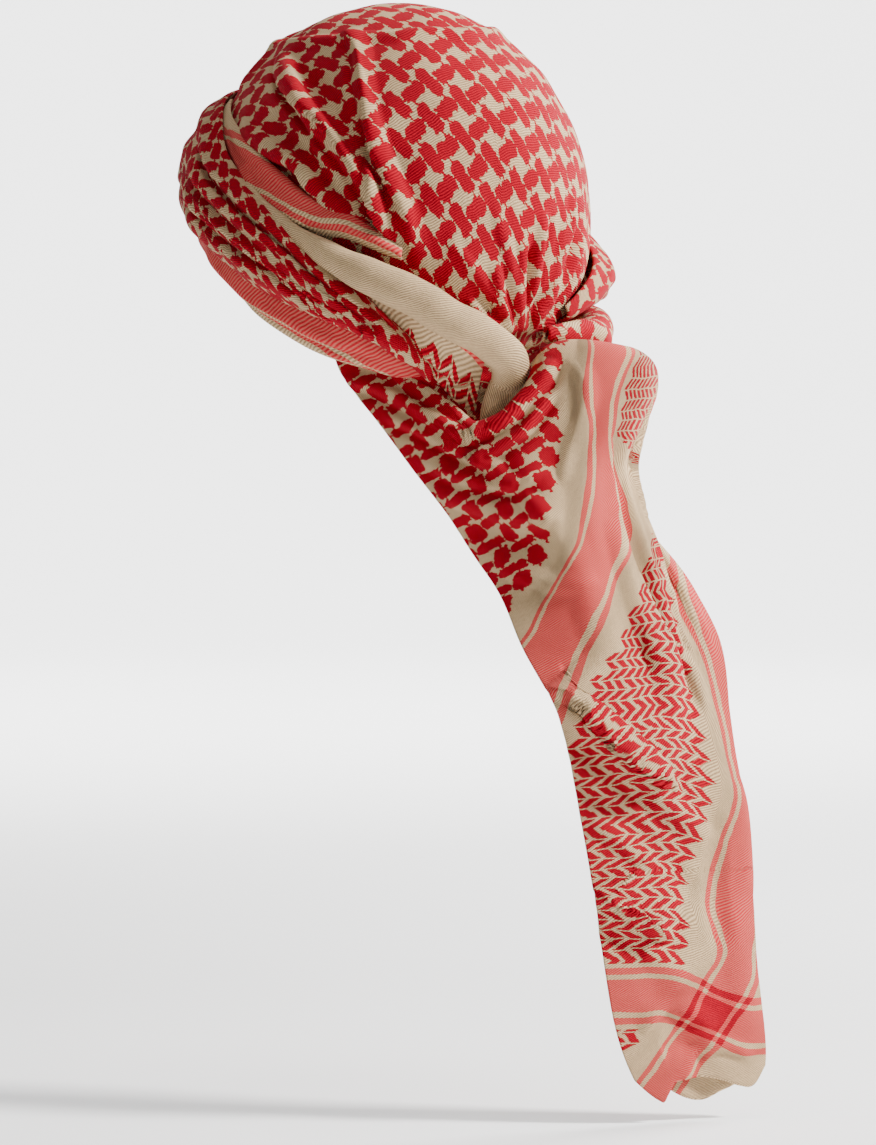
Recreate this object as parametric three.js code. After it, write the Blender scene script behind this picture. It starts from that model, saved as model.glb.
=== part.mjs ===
// Cotton scarf wound as a turban, with its tail hanging down the back.
// Millimetres, +Z up, the wearer faces -Y and the wearer's left is +X.
// The origin is the inside of the crown's highest point, where the head would touch.
import * as THREE from 'three';

// Sizes of the head form that the cloth keeps, measured from the origin downwards.
const FORM_HALF_BREADTH = 78;
const FORM_HALF_LENGTH = 98;
const FORM_RISE = 97;
const NECK_SHARE = 0.68;
const NECK_BLEND = 0.1;
const NECK_BLEND_REACH = 28;

// Cloth walls: one layer for the crown, two or three laid together for the rest.
const CROWN_WALL = 1.6;
const WRAP_WALL = 1.6;
const TAIL_WALL = 1.8;

// Distance from the head form to the middle of each cloth wall, innermost first.
const CROWN_LIFT = 0.8;
const UNDER_LIFT = 1.0;
const FOLD_LIFT = 3.0;
const BROW_LIFT = 5.3;

// Steps used to measure slopes: millimetres of drop or degrees of turn, and shares of a width.
const SLOPE_STEP = 0.5;
const SHARE_STEP = 0.01;
const FINE_SHARE_STEP = 0.002;
const SMALLEST_DROP = 0.01;

// Bulge of a wrap across its width: a rounder arch has a smaller power.
const ARCH_POWER = 0.7;
// A hanging band is full from this share of its width and turns back a little at its foot.
const HANG_FULL_AT = 0.55;
const HANG_TURN_FROM = 0.8;
const HANG_TURN_BACK = 0.25;

// Lower edge of the crown: how far it reaches down at each turn from the forehead.
const CROWN_FOOT = [
  { turn: -180, drop: 155 },
  { turn: -166, drop: 154 },
  { turn: -150, drop: 149 },
  { turn: -125, drop: 136 },
  { turn: -100, drop: 124 },
  { turn: -60, drop: 101 },
  { turn: 0, drop: 90 },
  { turn: 53, drop: 95 },
  { turn: 82, drop: 110 },
  { turn: 107, drop: 126 },
  { turn: 133, drop: 142 },
  { turn: 155, drop: 151 },
  { turn: 180, drop: 155 },
];

// Pleats of the crown: each leans from a start to an end, with a bend in degrees halfway.
const CROWN_PLEATS = [
  { turnA: 74, dropA: 26, turnB: 129, dropB: 112, bend: 9, height: 3.4, half: 8.0 },
  { turnA: 106, dropA: 22, turnB: 133, dropB: 116, bend: 4, height: 3.0, half: 7.5 },
  { turnA: 68, dropA: 54, turnB: 114, dropB: 98, bend: 6, height: 2.6, half: 7.0 },
  { turnA: 146, dropA: 112, turnB: 172, dropB: 152, bend: 0, height: 2.4, half: 5.5 },
  { turnA: 160, dropA: 98, turnB: 176, dropB: 152, bend: -1, height: 3.0, half: 5.5 },
  { turnA: 188, dropA: 96, turnB: 183, dropB: 152, bend: 1, height: 3.2, half: 5.5 },
  { turnA: 206, dropA: 104, turnB: 190, dropB: 150, bend: 2, height: 2.8, half: 5.5 },
  { turnA: 224, dropA: 84, turnB: 202, dropB: 138, bend: 2, height: 2.0, half: 6.5 },
  { turnA: 260, dropA: 24, turnB: 234, dropB: 108, bend: -6, height: 3.4, half: 8.0 },
  { turnA: 286, dropA: 40, turnB: 256, dropB: 94, bend: -5, height: 2.6, half: 7.0 },
  { turnA: 322, dropA: 14, turnB: 312, dropB: 48, bend: 0, height: 2.0, half: 8.0 },
  { turnA: 30, dropA: 12, turnB: 42, dropB: 44, bend: 0, height: 2.0, half: 8.0 },
];
const PLEAT_FADE = 14;

// The crown's columns stand closer together round the turn where its pleats are.
const CROWN_DENSE_TURN = 130;
const CROWN_DENSE_SHIFT = 24;

// Brow wrap, a pleated band round the forehead: upper edge, lower edge and fullness.
const BROW = [
  { turn: -166, top: 138, foot: 144, rise: 2.5 },
  { turn: -155, top: 129, foot: 139, rise: 6.0 },
  { turn: -140, top: 119, foot: 135, rise: 9.0 },
  { turn: -124, top: 109, foot: 129, rise: 10.0 },
  { turn: -106, top: 94, foot: 122, rise: 9.5 },
  { turn: -84, top: 74, foot: 116, rise: 9.0 },
  { turn: -58, top: 56, foot: 110, rise: 8.5 },
  { turn: -28, top: 43, foot: 104, rise: 8.0 },
  { turn: 0, top: 39, foot: 102, rise: 8.0 },
  { turn: 28, top: 42, foot: 103, rise: 8.0 },
  { turn: 53, top: 52, foot: 107, rise: 8.0 },
  { turn: 69, top: 70, foot: 117, rise: 8.0 },
  { turn: 84, top: 86, foot: 129, rise: 8.0 },
  { turn: 97, top: 101, foot: 138, rise: 7.5 },
  { turn: 107, top: 117, foot: 144, rise: 7.0 },
  { turn: 120, top: 134, foot: 152, rise: 6.0 },
  { turn: 133, top: 151, foot: 161, rise: 5.0 },
  { turn: 143, top: 164, foot: 172, rise: 3.5 },
];

// Long pleats of the brow wrap: where they start and end across the band, 0 above to 1 below.
const BROW_PLEATS = [
  { turnA: -150, acrossA: 0.26, turnB: 96, acrossB: 0.14, height: 2.4, half: 0.13 },
  { turnA: -140, acrossA: 0.64, turnB: 138, acrossB: 0.34, height: 2.8, half: 0.13 },
  { turnA: -30, acrossA: 0.86, turnB: 136, acrossB: 0.62, height: 2.8, half: 0.12 },
  { turnA: 56, acrossA: 0.50, turnB: 130, acrossB: 0.88, height: 1.8, half: 0.11 },
];
const PLEAT_END_FADE = 18;

// Under wrap, the lowest turn of the band: its upper edge is hidden by the brow wrap.
const UNDER = [
  { turn: -152, top: 154, foot: 168, rise: 1.5 },
  { turn: -138, top: 147, foot: 166, rise: 2.6 },
  { turn: -122, top: 139, foot: 161, rise: 2.8 },
  { turn: -104, top: 129, foot: 154, rise: 3.0 },
  { turn: -84, top: 120, foot: 143, rise: 3.0 },
  { turn: -58, top: 106, foot: 118, rise: 3.0 },
  { turn: -28, top: 98, foot: 107, rise: 2.4 },
  { turn: 0, top: 96, foot: 105, rise: 2.4 },
  { turn: 28, top: 97, foot: 107, rise: 2.4 },
  { turn: 50, top: 102, foot: 114, rise: 2.6 },
  { turn: 68, top: 112, foot: 131, rise: 3.2 },
  { turn: 82, top: 122, foot: 145, rise: 4.0 },
  { turn: 95, top: 132, foot: 156, rise: 4.0 },
  { turn: 104, top: 139, foot: 161, rise: 4.0 },
  { turn: 116, top: 147, foot: 166, rise: 3.6 },
  { turn: 130, top: 157, foot: 171, rise: 2.6 },
  { turn: 139, top: 163, foot: 171, rise: 0.8 },
];

// Inner fold, the flat cloth between the plain roll and the brow wrap.
const INNER = [
  { turn: 108, top: 115, foot: 125, rise: 0.4 },
  { turn: 118, top: 121, foot: 139, rise: 0.8 },
  { turn: 130, top: 128, foot: 154, rise: 1.4 },
  { turn: 142, top: 137, foot: 167, rise: 2.4 },
  { turn: 154, top: 146, foot: 182, rise: 3.2 },
  { turn: 164, top: 154, foot: 188, rise: 2.2 },
];

// Stripe fold, the flat cloth above the plain roll, ending in a folded tip.
const STRIPE = [
  { turn: 48, top: 45, foot: 52, rise: 0.3 },
  { turn: 60, top: 53, foot: 62, rise: 0.6 },
  { turn: 74, top: 62, foot: 77, rise: 2.0 },
  { turn: 92, top: 78, foot: 96, rise: 3.0 },
  { turn: 105, top: 92, foot: 106, rise: 4.0 },
  { turn: 115, top: 98, foot: 109, rise: 4.4 },
  { turn: 124, top: 106, foot: 114, rise: 4.0 },
  { turn: 131, top: 114, foot: 118, rise: 2.4 },
];

// Plain roll of selvedge cloth on the left, as sections of an oval tube.
const PLAIN_ROLL = [
  { turn: 106, drop: 111.5, wide: 2.6, high: 2.2, lift: 8.8 },
  { turn: 113, drop: 117.0, wide: 5.0, high: 4.2, lift: 9.8 },
  { turn: 120, drop: 122.0, wide: 7.2, high: 5.4, lift: 11.1 },
  { turn: 129, drop: 128.0, wide: 8.4, high: 5.8, lift: 11.7 },
  { turn: 137, drop: 133.5, wide: 8.6, high: 6.0, lift: 12.1 },
  { turn: 147, drop: 141.0, wide: 8.6, high: 6.0, lift: 12.7 },
  { turn: 158, drop: 148.5, wide: 8.4, high: 6.0, lift: 13.3 },
  { turn: 168, drop: 156.0, wide: 8.2, high: 6.0, lift: 13.3 },
  { turn: 173, drop: 166.0, wide: 8.0, high: 5.8, lift: 12.3 },
  { turn: 173, drop: 177.0, wide: 7.6, high: 5.2, lift: 10.8 },
  { turn: 170, drop: 188.0, wide: 6.8, high: 4.4, lift: 10.3 },
  { turn: 168, drop: 199.0, wide: 5.0, high: 3.4, lift: 11.3 },
];

// Full roll on the right, the matching turn that runs into the gathers at the nape.
const FULL_ROLL = [
  { turn: -74, drop: 122.0, wide: 2.6, high: 2.2, lift: 8.6 },
  { turn: -88, drop: 127.0, wide: 5.0, high: 4.0, lift: 10.0 },
  { turn: -102, drop: 133.0, wide: 7.0, high: 5.6, lift: 11.6 },
  { turn: -118, drop: 139.5, wide: 8.2, high: 7.2, lift: 13.2 },
  { turn: -133, drop: 144.0, wide: 9.0, high: 8.4, lift: 15.5 },
  { turn: -147, drop: 146.5, wide: 9.0, high: 8.6, lift: 16.5 },
  { turn: -160, drop: 147.0, wide: 7.8, high: 7.0, lift: 14.5 },
  { turn: -170, drop: 147.5, wide: 5.6, high: 4.8, lift: 11.6 },
  { turn: -176, drop: 148.0, wide: 2.8, high: 2.2, lift: 9.6 },
];

// Sections of the tail and nape drape, from the nape down: left edge, crest and right edge.
// The crest faces the given turn, and round is 1 for an oval section and 0 for a shallow one.
const TAIL = [
  { drop: 148, leftX: 57, leftY: 12, crestX: -30, crestY: 112, rightX: -66, rightY: 50, face: 204, round: 1.0 },
  { drop: 158, leftX: 56, leftY: 15, crestX: -34, crestY: 120, rightX: -66, rightY: 46, face: 204, round: 1.0 },
  { drop: 172, leftX: 54, leftY: 21, crestX: -38, crestY: 127, rightX: -63, rightY: 42, face: 204, round: 1.0 },
  { drop: 193, leftX: 48, leftY: 38, crestX: -32, crestY: 123, rightX: -58, rightY: 50, face: 202, round: 1.0 },
  { drop: 213, leftX: 40, leftY: 51, crestX: -26, crestY: 117, rightX: -53, rightY: 72, face: 198, round: 0.9 },
  { drop: 234, leftX: 30, leftY: 64, crestX: -23, crestY: 120, rightX: -58, rightY: 94, face: 192, round: 0.7 },
  { drop: 253, leftX: 22, leftY: 73, crestX: -22, crestY: 125, rightX: -65, rightY: 112, face: 184, round: 0.5 },
  { drop: 271, leftX: 18, leftY: 86, crestX: -22, crestY: 130, rightX: -67, rightY: 124, face: 176, round: 0.3 },
  { drop: 294, leftX: 19, leftY: 101, crestX: -22, crestY: 136, rightX: -65, rightY: 138, face: 168, round: 0.1 },
  { drop: 327, leftX: 15, leftY: 121, crestX: -22, crestY: 142, rightX: -61, rightY: 148, face: 162, round: 0.0 },
  { drop: 377, leftX: 7, leftY: 128, crestX: -27, crestY: 146, rightX: -68, rightY: 155, face: 160, round: 0.0 },
  { drop: 419, leftX: 1, leftY: 132, crestX: -33, crestY: 149, rightX: -73, rightY: 159, face: 160, round: 0.0 },
  { drop: 460, leftX: -5, leftY: 135, crestX: -38, crestY: 151, rightX: -76, rightY: 161, face: 160, round: 0.0 },
  { drop: 483, leftX: -11, leftY: 138, crestX: -44, crestY: 153, rightX: -78, rightY: 162, face: 160, round: 0.0 },
  { drop: 505, leftX: -22, leftY: 142, crestX: -48, crestY: 155, rightX: -75, rightY: 162, face: 160, round: 0.0 },
];

// Upper lip and lower hem of the tail across its width, -1 left edge to 1 right edge,
// with the radius and the angle in degrees of the lip where it rolls over towards the head.
const TAIL_ENDS = [
  { across: -1.0, lip: 164, hem: 492, lipRadius: 8, lipAngle: 20 },
  { across: -0.93, lip: 166, hem: 496, lipRadius: 8, lipAngle: 20 },
  { across: -0.86, lip: 171, hem: 499, lipRadius: 8, lipAngle: 20 },
  { across: -0.79, lip: 181, hem: 501, lipRadius: 7, lipAngle: 28 },
  { across: -0.72, lip: 194, hem: 502, lipRadius: 6, lipAngle: 60 },
  { across: -0.62, lip: 189, hem: 499, lipRadius: 5.5, lipAngle: 110 },
  { across: -0.53, lip: 174, hem: 496, lipRadius: 6, lipAngle: 135 },
  { across: -0.44, lip: 160, hem: 493, lipRadius: 9, lipAngle: 155 },
  { across: -0.28, lip: 152, hem: 492, lipRadius: 11, lipAngle: 160 },
  { across: 0.0, lip: 152, hem: 491, lipRadius: 12, lipAngle: 160 },
  { across: 0.3, lip: 157, hem: 493, lipRadius: 12, lipAngle: 160 },
  { across: 0.6, lip: 164, hem: 496, lipRadius: 10, lipAngle: 150 },
  { across: 0.85, lip: 173, hem: 496, lipRadius: 7, lipAngle: 120 },
  { across: 1.0, lip: 180, hem: 488, lipRadius: 5, lipAngle: 90 },
];

// Folds of the tail: a line from one place to another, raised by its height or sunk if negative.
const TAIL_FOLDS = [
  { acrossA: 0.42, dropA: 196, acrossB: 0.24, dropB: 326, height: 5.0, half: 12 },
  { acrossA: -0.10, dropA: 188, acrossB: -0.04, dropB: 320, height: -2.6, half: 12 },
  { acrossA: 0.66, dropA: 206, acrossB: 0.62, dropB: 300, height: -4.0, half: 11 },
  { acrossA: -1.0, dropA: 318, acrossB: 0.40, dropB: 382, height: 5.0, half: 14 },
  { acrossA: -1.0, dropA: 352, acrossB: 0.20, dropB: 406, height: -2.5, half: 13 },
  { acrossA: -1.0, dropA: 408, acrossB: -0.10, dropB: 446, height: 3.0, half: 13 },
  { acrossA: -0.92, dropA: 184, acrossB: -0.50, dropB: 240, height: 3.0, half: 11 },
  { acrossA: -0.56, dropA: 208, acrossB: -0.34, dropB: 300, height: 2.6, half: 12 },
  { acrossA: 0.82, dropA: 330, acrossB: 0.74, dropB: 470, height: 2.0, half: 12 },
  { acrossA: -0.40, dropA: 448, acrossB: 0.10, dropB: 500, height: -2.2, half: 12 },
];
const TAIL_FOLD_FADE = 16;
// A fold is followed by its drop where it falls by more than this share of its length.
const STEEP_SHARE = 0.6;

// Share of the tail's rows that the rolled lip takes.
const LIP_ROWS_SHARE = 0.18;

// Nape layer, the cloth under the wraps that closes the nape between crown and tail.
const NAPE = [
  { turn: 141, top: 160, foot: 177, rise: 0 },
  { turn: 148, top: 159, foot: 186, rise: 0 },
  { turn: 156, top: 158, foot: 200, rise: 0 },
  { turn: 166, top: 159, foot: 211, rise: 0 },
  { turn: 176, top: 160, foot: 214, rise: 0 },
  { turn: 192, top: 160, foot: 212, rise: 0 },
  { turn: 200, top: 160, foot: 208, rise: 0 },
  { turn: 206, top: 172, foot: 204, rise: 0 },
  { turn: 220, top: 172, foot: 194, rise: 0 },
  { turn: 236, top: 168, foot: 186, rise: 0 },
];

// Back layer of the tail, which hangs behind the front layer from the nape to the hem.
const BACK_GAP = 6.0;
const BACK_GAP_AT_FOLD = 2.3;
const BACK_CLOSING_FROM = 0.3;
const BACK_ENDS = [
  { across: -0.80, lip: 262, hem: 488 },
  { across: -0.4, lip: 250, hem: 499 },
  { across: 0.0, lip: 246, hem: 502 },
  { across: 0.4, lip: 250, hem: 498 },
  { across: 0.84, lip: 262, hem: 492 },
];

// Number of steps along and across each piece of cloth.
const STEPS = {
  crown: [22, 54],
  brow: [50, 9],
  under: [40, 4],
  inner: [14, 5],
  stripe: [16, 4],
  plainRoll: [26, 10],
  fullRoll: [22, 10],
  nape: [14, 5],
  tail: [32, 26],
  back: [16, 8],
};

const RED = 0xb5222b;
const TAN = 0xc3ab8c;
const PINK = 0xcf8378;

const radians = THREE.MathUtils.degToRad;
const mix = THREE.MathUtils.lerp;
const smooth = THREE.MathUtils.smoothstep;

// Reads every column of a table at one place, with a smooth curve through its rows.
function read(table, key, place) {
  const last = table.length - 1;
  const forward = table[last][key] > table[0][key];
  let i = 0;
  while (i < last - 1 && (forward ? place > table[i + 1][key] : place < table[i + 1][key])) {
    i += 1;
  }
  const a = table[i];
  const b = table[i + 1];
  const before = table[Math.max(0, i - 1)];
  const after = table[Math.min(last, i + 2)];
  const span = b[key] - a[key];
  const t = THREE.MathUtils.clamp((place - a[key]) / span, 0, 1);
  const out = {};
  for (const name of Object.keys(a)) {
    const slopeA = ((b[name] - before[name]) / (b[key] - before[key])) * span;
    const slopeB = ((after[name] - a[name]) / (after[key] - a[key])) * span;
    const t2 = t * t;
    const t3 = t2 * t;
    out[name] = (2 * t3 - 3 * t2 + 1) * a[name] + (t3 - 2 * t2 + t) * slopeA
      + (3 * t2 - 2 * t3) * b[name] + (t3 - t2) * slopeB;
  }
  return out;
}

// Reads a table by row number, for paths that turn back on themselves.
function along(table, share) {
  const numbered = table.map((row, number) => ({ ...row, number }));
  return read(numbered, 'number', share * (table.length - 1));
}

// Girth of the head form at a drop, as a share of its widest girth.
function girth(drop) {
  const oval = Math.sqrt(Math.max(0, 1 - ((FORM_RISE - drop) / FORM_RISE) ** 2));
  if (drop <= FORM_RISE) {
    return oval;
  }
  const blend = NECK_BLEND * smooth(drop, FORM_RISE, FORM_RISE + NECK_BLEND_REACH);
  return (oval + NECK_SHARE + Math.hypot(oval - NECK_SHARE, blend)) / 2;
}

function onForm(turn, drop) {
  const share = girth(drop);
  const angle = radians(turn);
  return new THREE.Vector3(
    FORM_HALF_BREADTH * share * Math.sin(angle),
    -FORM_HALF_LENGTH * share * Math.cos(angle),
    -drop,
  );
}

function formNormal(turn, drop) {
  if (drop < SMALLEST_DROP) {
    return new THREE.Vector3(0, 0, 1);
  }
  const step = Math.min(SLOPE_STEP, drop / 2);
  const acrossway = onForm(turn + SLOPE_STEP, drop).sub(onForm(turn - SLOPE_STEP, drop));
  const downway = onForm(turn, drop + step).sub(onForm(turn, drop - step));
  return downway.cross(acrossway).normalize();
}

function lifted(turn, drop, lift) {
  return onForm(turn, drop).addScaledVector(formNormal(turn, drop), lift);
}

// A soft ridge: full height on its line and nothing beyond its half width.
function bump(distance, half) {
  const t = Math.min(1, Math.abs(distance) / half);
  return (1 - t * t) ** 2;
}

function crownPleat(pleat, turn, drop) {
  const t = (drop - pleat.dropA) / (pleat.dropB - pleat.dropA);
  const inside = THREE.MathUtils.clamp(t, 0, 1);
  const line = mix(pleat.turnA, pleat.turnB, inside) + 4 * pleat.bend * inside * (1 - inside);
  const wrapped = THREE.MathUtils.euclideanModulo(turn - line + 180, 360) - 180;
  const distance = radians(wrapped) * girth(drop) * FORM_HALF_LENGTH;
  const fade = smooth(drop, pleat.dropA - PLEAT_FADE, pleat.dropA + PLEAT_FADE)
    * (1 - smooth(drop, pleat.dropB - PLEAT_FADE, pleat.dropB));
  return pleat.height * bump(distance, pleat.half) * fade;
}

function crownAt(u, v) {
  const even = mix(-180, 180, v);
  const turn = even - CROWN_DENSE_SHIFT * Math.sin(radians(even - CROWN_DENSE_TURN));
  const foot = read(CROWN_FOOT, 'turn', turn).drop;
  const reach = foot < FORM_RISE
    ? Math.acos(1 - foot / FORM_RISE)
    : Math.PI / 2 + (foot - FORM_RISE) / FORM_RISE;
  const angle = u * reach;
  const drop = angle < Math.PI / 2
    ? FORM_RISE * (1 - Math.cos(angle))
    : FORM_RISE + FORM_RISE * (angle - Math.PI / 2);
  const lift = CROWN_PLEATS.reduce((sum, pleat) => sum + crownPleat(pleat, turn, drop), CROWN_LIFT);
  return lifted(turn, drop, lift);
}

// A band that follows a table of upper and lower edges and bulges between them.
function bandAt(table, baseLift, fullness, pleats) {
  return (u, v) => {
    const turn = mix(table[0].turn, table[table.length - 1].turn, u);
    const row = read(table, 'turn', turn);
    const drop = mix(row.top, row.foot, v);
    let lift = baseLift + row.rise * fullness(v);
    for (const pleat of pleats) {
      const t = (turn - pleat.turnA) / (pleat.turnB - pleat.turnA);
      const line = mix(pleat.acrossA, pleat.acrossB, THREE.MathUtils.clamp(t, 0, 1));
      const fade = smooth(turn, pleat.turnA, pleat.turnA + PLEAT_END_FADE)
        * (1 - smooth(turn, pleat.turnB - PLEAT_END_FADE, pleat.turnB));
      lift += pleat.height * bump(v - line, pleat.half) * fade;
    }
    return lifted(turn, drop, lift);
  };
}

const arched = (v) => Math.sin(Math.PI * v) ** ARCH_POWER;
const domed = (v) => Math.sin(Math.PI * v);
function hanging(v) {
  return smooth(v, 0, HANG_FULL_AT) * (1 - HANG_TURN_BACK * smooth(v, HANG_TURN_FROM, 1));
}

// An oval tube that follows a path over the form.
function rollAt(table) {
  return (u, v) => {
    const row = along(table, u);
    const behind = along(table, Math.max(0, u - SHARE_STEP));
    const ahead = along(table, Math.min(1, u + SHARE_STEP));
    const centre = lifted(row.turn, row.drop, row.lift);
    const forward = lifted(ahead.turn, ahead.drop, ahead.lift)
      .sub(lifted(behind.turn, behind.drop, behind.lift)).normalize();
    const outward = formNormal(row.turn, row.drop);
    outward.addScaledVector(forward, -outward.dot(forward)).normalize();
    const sideways = outward.clone().cross(forward);
    const angle = 2 * Math.PI * v;
    return centre.addScaledVector(sideways, row.wide * Math.cos(angle))
      .addScaledVector(outward, row.high * Math.sin(angle));
  };
}

// A point of the tail's bare surface, before its folds.
function tailSurface(across, drop) {
  const row = read(TAIL, 'drop', drop);
  const face = radians(row.face);
  const out = new THREE.Vector3(Math.sin(face), -Math.cos(face), 0);
  const side = new THREE.Vector3(-out.y, out.x, 0);
  const crest = new THREE.Vector3(row.crestX, row.crestY, -drop);
  const edge = across < 0
    ? new THREE.Vector3(row.leftX, row.leftY, -drop)
    : new THREE.Vector3(row.rightX, row.rightY, -drop);
  const offset = edge.sub(crest);
  const t = Math.abs(across);
  const quarter = (Math.PI / 2) * t;
  const sideShare = mix(t, Math.sin(quarter), row.round);
  const inShare = mix(t * t, 1 - Math.cos(quarter), row.round);
  return crest.addScaledVector(side, offset.dot(side) * sideShare)
    .addScaledVector(out, offset.dot(out) * inShare);
}

function tailNormal(across, drop) {
  const low = Math.max(-1, across - SHARE_STEP);
  const high = Math.min(1, across + SHARE_STEP);
  const acrossway = tailSurface(high, drop).sub(tailSurface(low, drop));
  const downway = tailSurface(across, drop + SLOPE_STEP).sub(tailSurface(across, drop - SLOPE_STEP));
  return acrossway.cross(downway).normalize().negate();
}

function tailFold(fold, across, drop) {
  const start = tailSurface(fold.acrossA, fold.dropA);
  const end = tailSurface(fold.acrossB, fold.dropB);
  const here = tailSurface(across, drop);
  const length = start.distanceTo(end);
  const steep = Math.abs(fold.dropB - fold.dropA) > length * STEEP_SHARE;
  const t = steep
    ? (drop - fold.dropA) / (fold.dropB - fold.dropA)
    : (across - fold.acrossA) / (fold.acrossB - fold.acrossA);
  const inside = THREE.MathUtils.clamp(t, 0, 1);
  const line = tailSurface(mix(fold.acrossA, fold.acrossB, inside), mix(fold.dropA, fold.dropB, inside));
  const fade = smooth(t * length, -TAIL_FOLD_FADE, TAIL_FOLD_FADE)
    * (1 - smooth(t * length, length - TAIL_FOLD_FADE, length + TAIL_FOLD_FADE));
  return fold.height * bump(line.distanceTo(here), fold.half) * fade;
}

// A point of the tail with its folds, moved in towards the neck by an inset.
function foldedTail(across, drop, inset) {
  const rise = TAIL_FOLDS.reduce((sum, fold) => sum + tailFold(fold, across, drop), -inset);
  return tailSurface(across, drop).addScaledVector(tailNormal(across, drop), rise);
}

function tailAt(u, v) {
  const across = mix(-1, 1, v);
  const ends = read(TAIL_ENDS, 'across', across);
  const below = ends.lip + ends.lipRadius * Math.sin(radians(Math.min(90, ends.lipAngle)));
  if (u >= LIP_ROWS_SHARE) {
    return foldedTail(across, mix(below, ends.hem, (u - LIP_ROWS_SHARE) / (1 - LIP_ROWS_SHARE)), 0);
  }
  const angle = radians(ends.lipAngle) * (1 - u / LIP_ROWS_SHARE);
  const inset = ends.lipRadius * (1 - Math.cos(angle));
  return foldedTail(across, below - ends.lipRadius * Math.sin(angle), inset);
}

function backAt(u, v) {
  const across = mix(BACK_ENDS[0].across, BACK_ENDS[BACK_ENDS.length - 1].across, v);
  const ends = read(BACK_ENDS, 'across', across);
  const closing = smooth(across, BACK_CLOSING_FROM, BACK_ENDS[BACK_ENDS.length - 1].across);
  return foldedTail(across, mix(ends.lip, ends.hem, u), mix(BACK_GAP, BACK_GAP_AT_FOLD, closing));
}

// Thickens a surface into one closed wall. A ring closes across; a cap closes its first row.
function wallOf(at, steps, wall, { ring = false, cap = false } = {}) {
  const [rows, columns] = steps;
  const across = ring ? columns : columns + 1;
  const positions = [];
  const slope = FINE_SHARE_STEP;
  for (const side of [0.5, -0.5]) {
    for (let i = 0; i <= rows; i += 1) {
      for (let j = 0; j < across; j += 1) {
        const u = i / rows;
        const v = j / columns;
        const lowV = ring ? v - slope : Math.max(0, v - slope);
        const highV = ring ? v + slope : Math.min(1, v + slope);
        const alongway = at(Math.min(1, u + slope), v).sub(at(Math.max(0, u - slope), v));
        const acrossway = at(u, highV).sub(at(u, lowV));
        const normal = cap && i === 0
          ? new THREE.Vector3(0, 0, 1)
          : alongway.cross(acrossway).normalize();
        const point = at(u, v).addScaledVector(normal, side * wall);
        positions.push(point.x, point.y, point.z);
      }
    }
  }
  const layer = (rows + 1) * across;
  const index = (side, i, j) => side * layer + i * across + (cap && i === 0 ? 0 : j % across);
  const faces = [];
  const quad = (a, b, c, d) => {
    for (const face of [[a, b, c], [a, c, d]]) {
      if (new Set(face).size === 3) {
        faces.push(...face);
      }
    }
  };
  for (let i = 0; i < rows; i += 1) {
    for (let j = 0; j < columns; j += 1) {
      quad(index(0, i, j), index(0, i + 1, j), index(0, i + 1, j + 1), index(0, i, j + 1));
      quad(index(1, i, j), index(1, i, j + 1), index(1, i + 1, j + 1), index(1, i + 1, j));
    }
  }
  for (let j = 0; j < columns; j += 1) {
    if (!cap) {
      quad(index(0, 0, j), index(0, 0, j + 1), index(1, 0, j + 1), index(1, 0, j));
    }
    quad(index(0, rows, j), index(1, rows, j), index(1, rows, j + 1), index(0, rows, j + 1));
  }
  if (!ring) {
    for (let i = 0; i < rows; i += 1) {
      quad(index(0, i, 0), index(1, i, 0), index(1, i + 1, 0), index(0, i + 1, 0));
      quad(index(0, i, columns), index(0, i + 1, columns), index(1, i + 1, columns), index(1, i, columns));
    }
  }
  return closed(positions, faces);
}

// Drops unused points and turns the faces outward where the wall came out inside out.
function closed(positions, faces) {
  const used = new Map();
  const kept = [];
  const renumbered = faces.map((corner) => {
    if (!used.has(corner)) {
      used.set(corner, kept.length / 3);
      kept.push(...positions.slice(3 * corner, 3 * corner + 3));
    }
    return used.get(corner);
  });
  const corner = (number) => new THREE.Vector3().fromArray(kept, 3 * number);
  let volume = 0;
  for (let i = 0; i < renumbered.length; i += 3) {
    const [a, b, c] = renumbered.slice(i, i + 3).map(corner);
    volume += a.dot(b.cross(c));
  }
  if (volume < 0) {
    for (let i = 0; i < renumbered.length; i += 3) {
      [renumbered[i], renumbered[i + 1]] = [renumbered[i + 1], renumbered[i]];
    }
  }
  const geometry = new THREE.BufferGeometry();
  geometry.setAttribute('position', new THREE.Float32BufferAttribute(kept, 3));
  geometry.setIndex(renumbered);
  return geometry;
}

const group = new THREE.Group();

function add(name, geometry, colour) {
  const material = new THREE.MeshStandardMaterial({ color: colour, roughness: 0.9, metalness: 0 });
  const mesh = new THREE.Mesh(geometry, material);
  mesh.name = name;
  group.add(mesh);
}

add('crown', wallOf(crownAt, STEPS.crown, CROWN_WALL, { ring: true, cap: true }), RED);
add('brow_wrap', wallOf(bandAt(BROW, BROW_LIFT, arched, BROW_PLEATS), STEPS.brow, WRAP_WALL), RED);
add('under_wrap', wallOf(bandAt(UNDER, UNDER_LIFT, hanging, []), STEPS.under, WRAP_WALL), PINK);
add('inner_fold', wallOf(bandAt(INNER, FOLD_LIFT, domed, []), STEPS.inner, WRAP_WALL), TAN);
add('stripe_fold', wallOf(bandAt(STRIPE, FOLD_LIFT, domed, []), STEPS.stripe, WRAP_WALL), PINK);
add('plain_roll', wallOf(rollAt(PLAIN_ROLL), STEPS.plainRoll, WRAP_WALL, { ring: true }), TAN);
add('full_roll', wallOf(rollAt(FULL_ROLL), STEPS.fullRoll, WRAP_WALL, { ring: true }), RED);
add('nape_layer', wallOf(bandAt(NAPE, UNDER_LIFT, domed, []), STEPS.nape, WRAP_WALL), RED);
add('tail_front', wallOf(tailAt, STEPS.tail, TAIL_WALL), RED);
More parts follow.
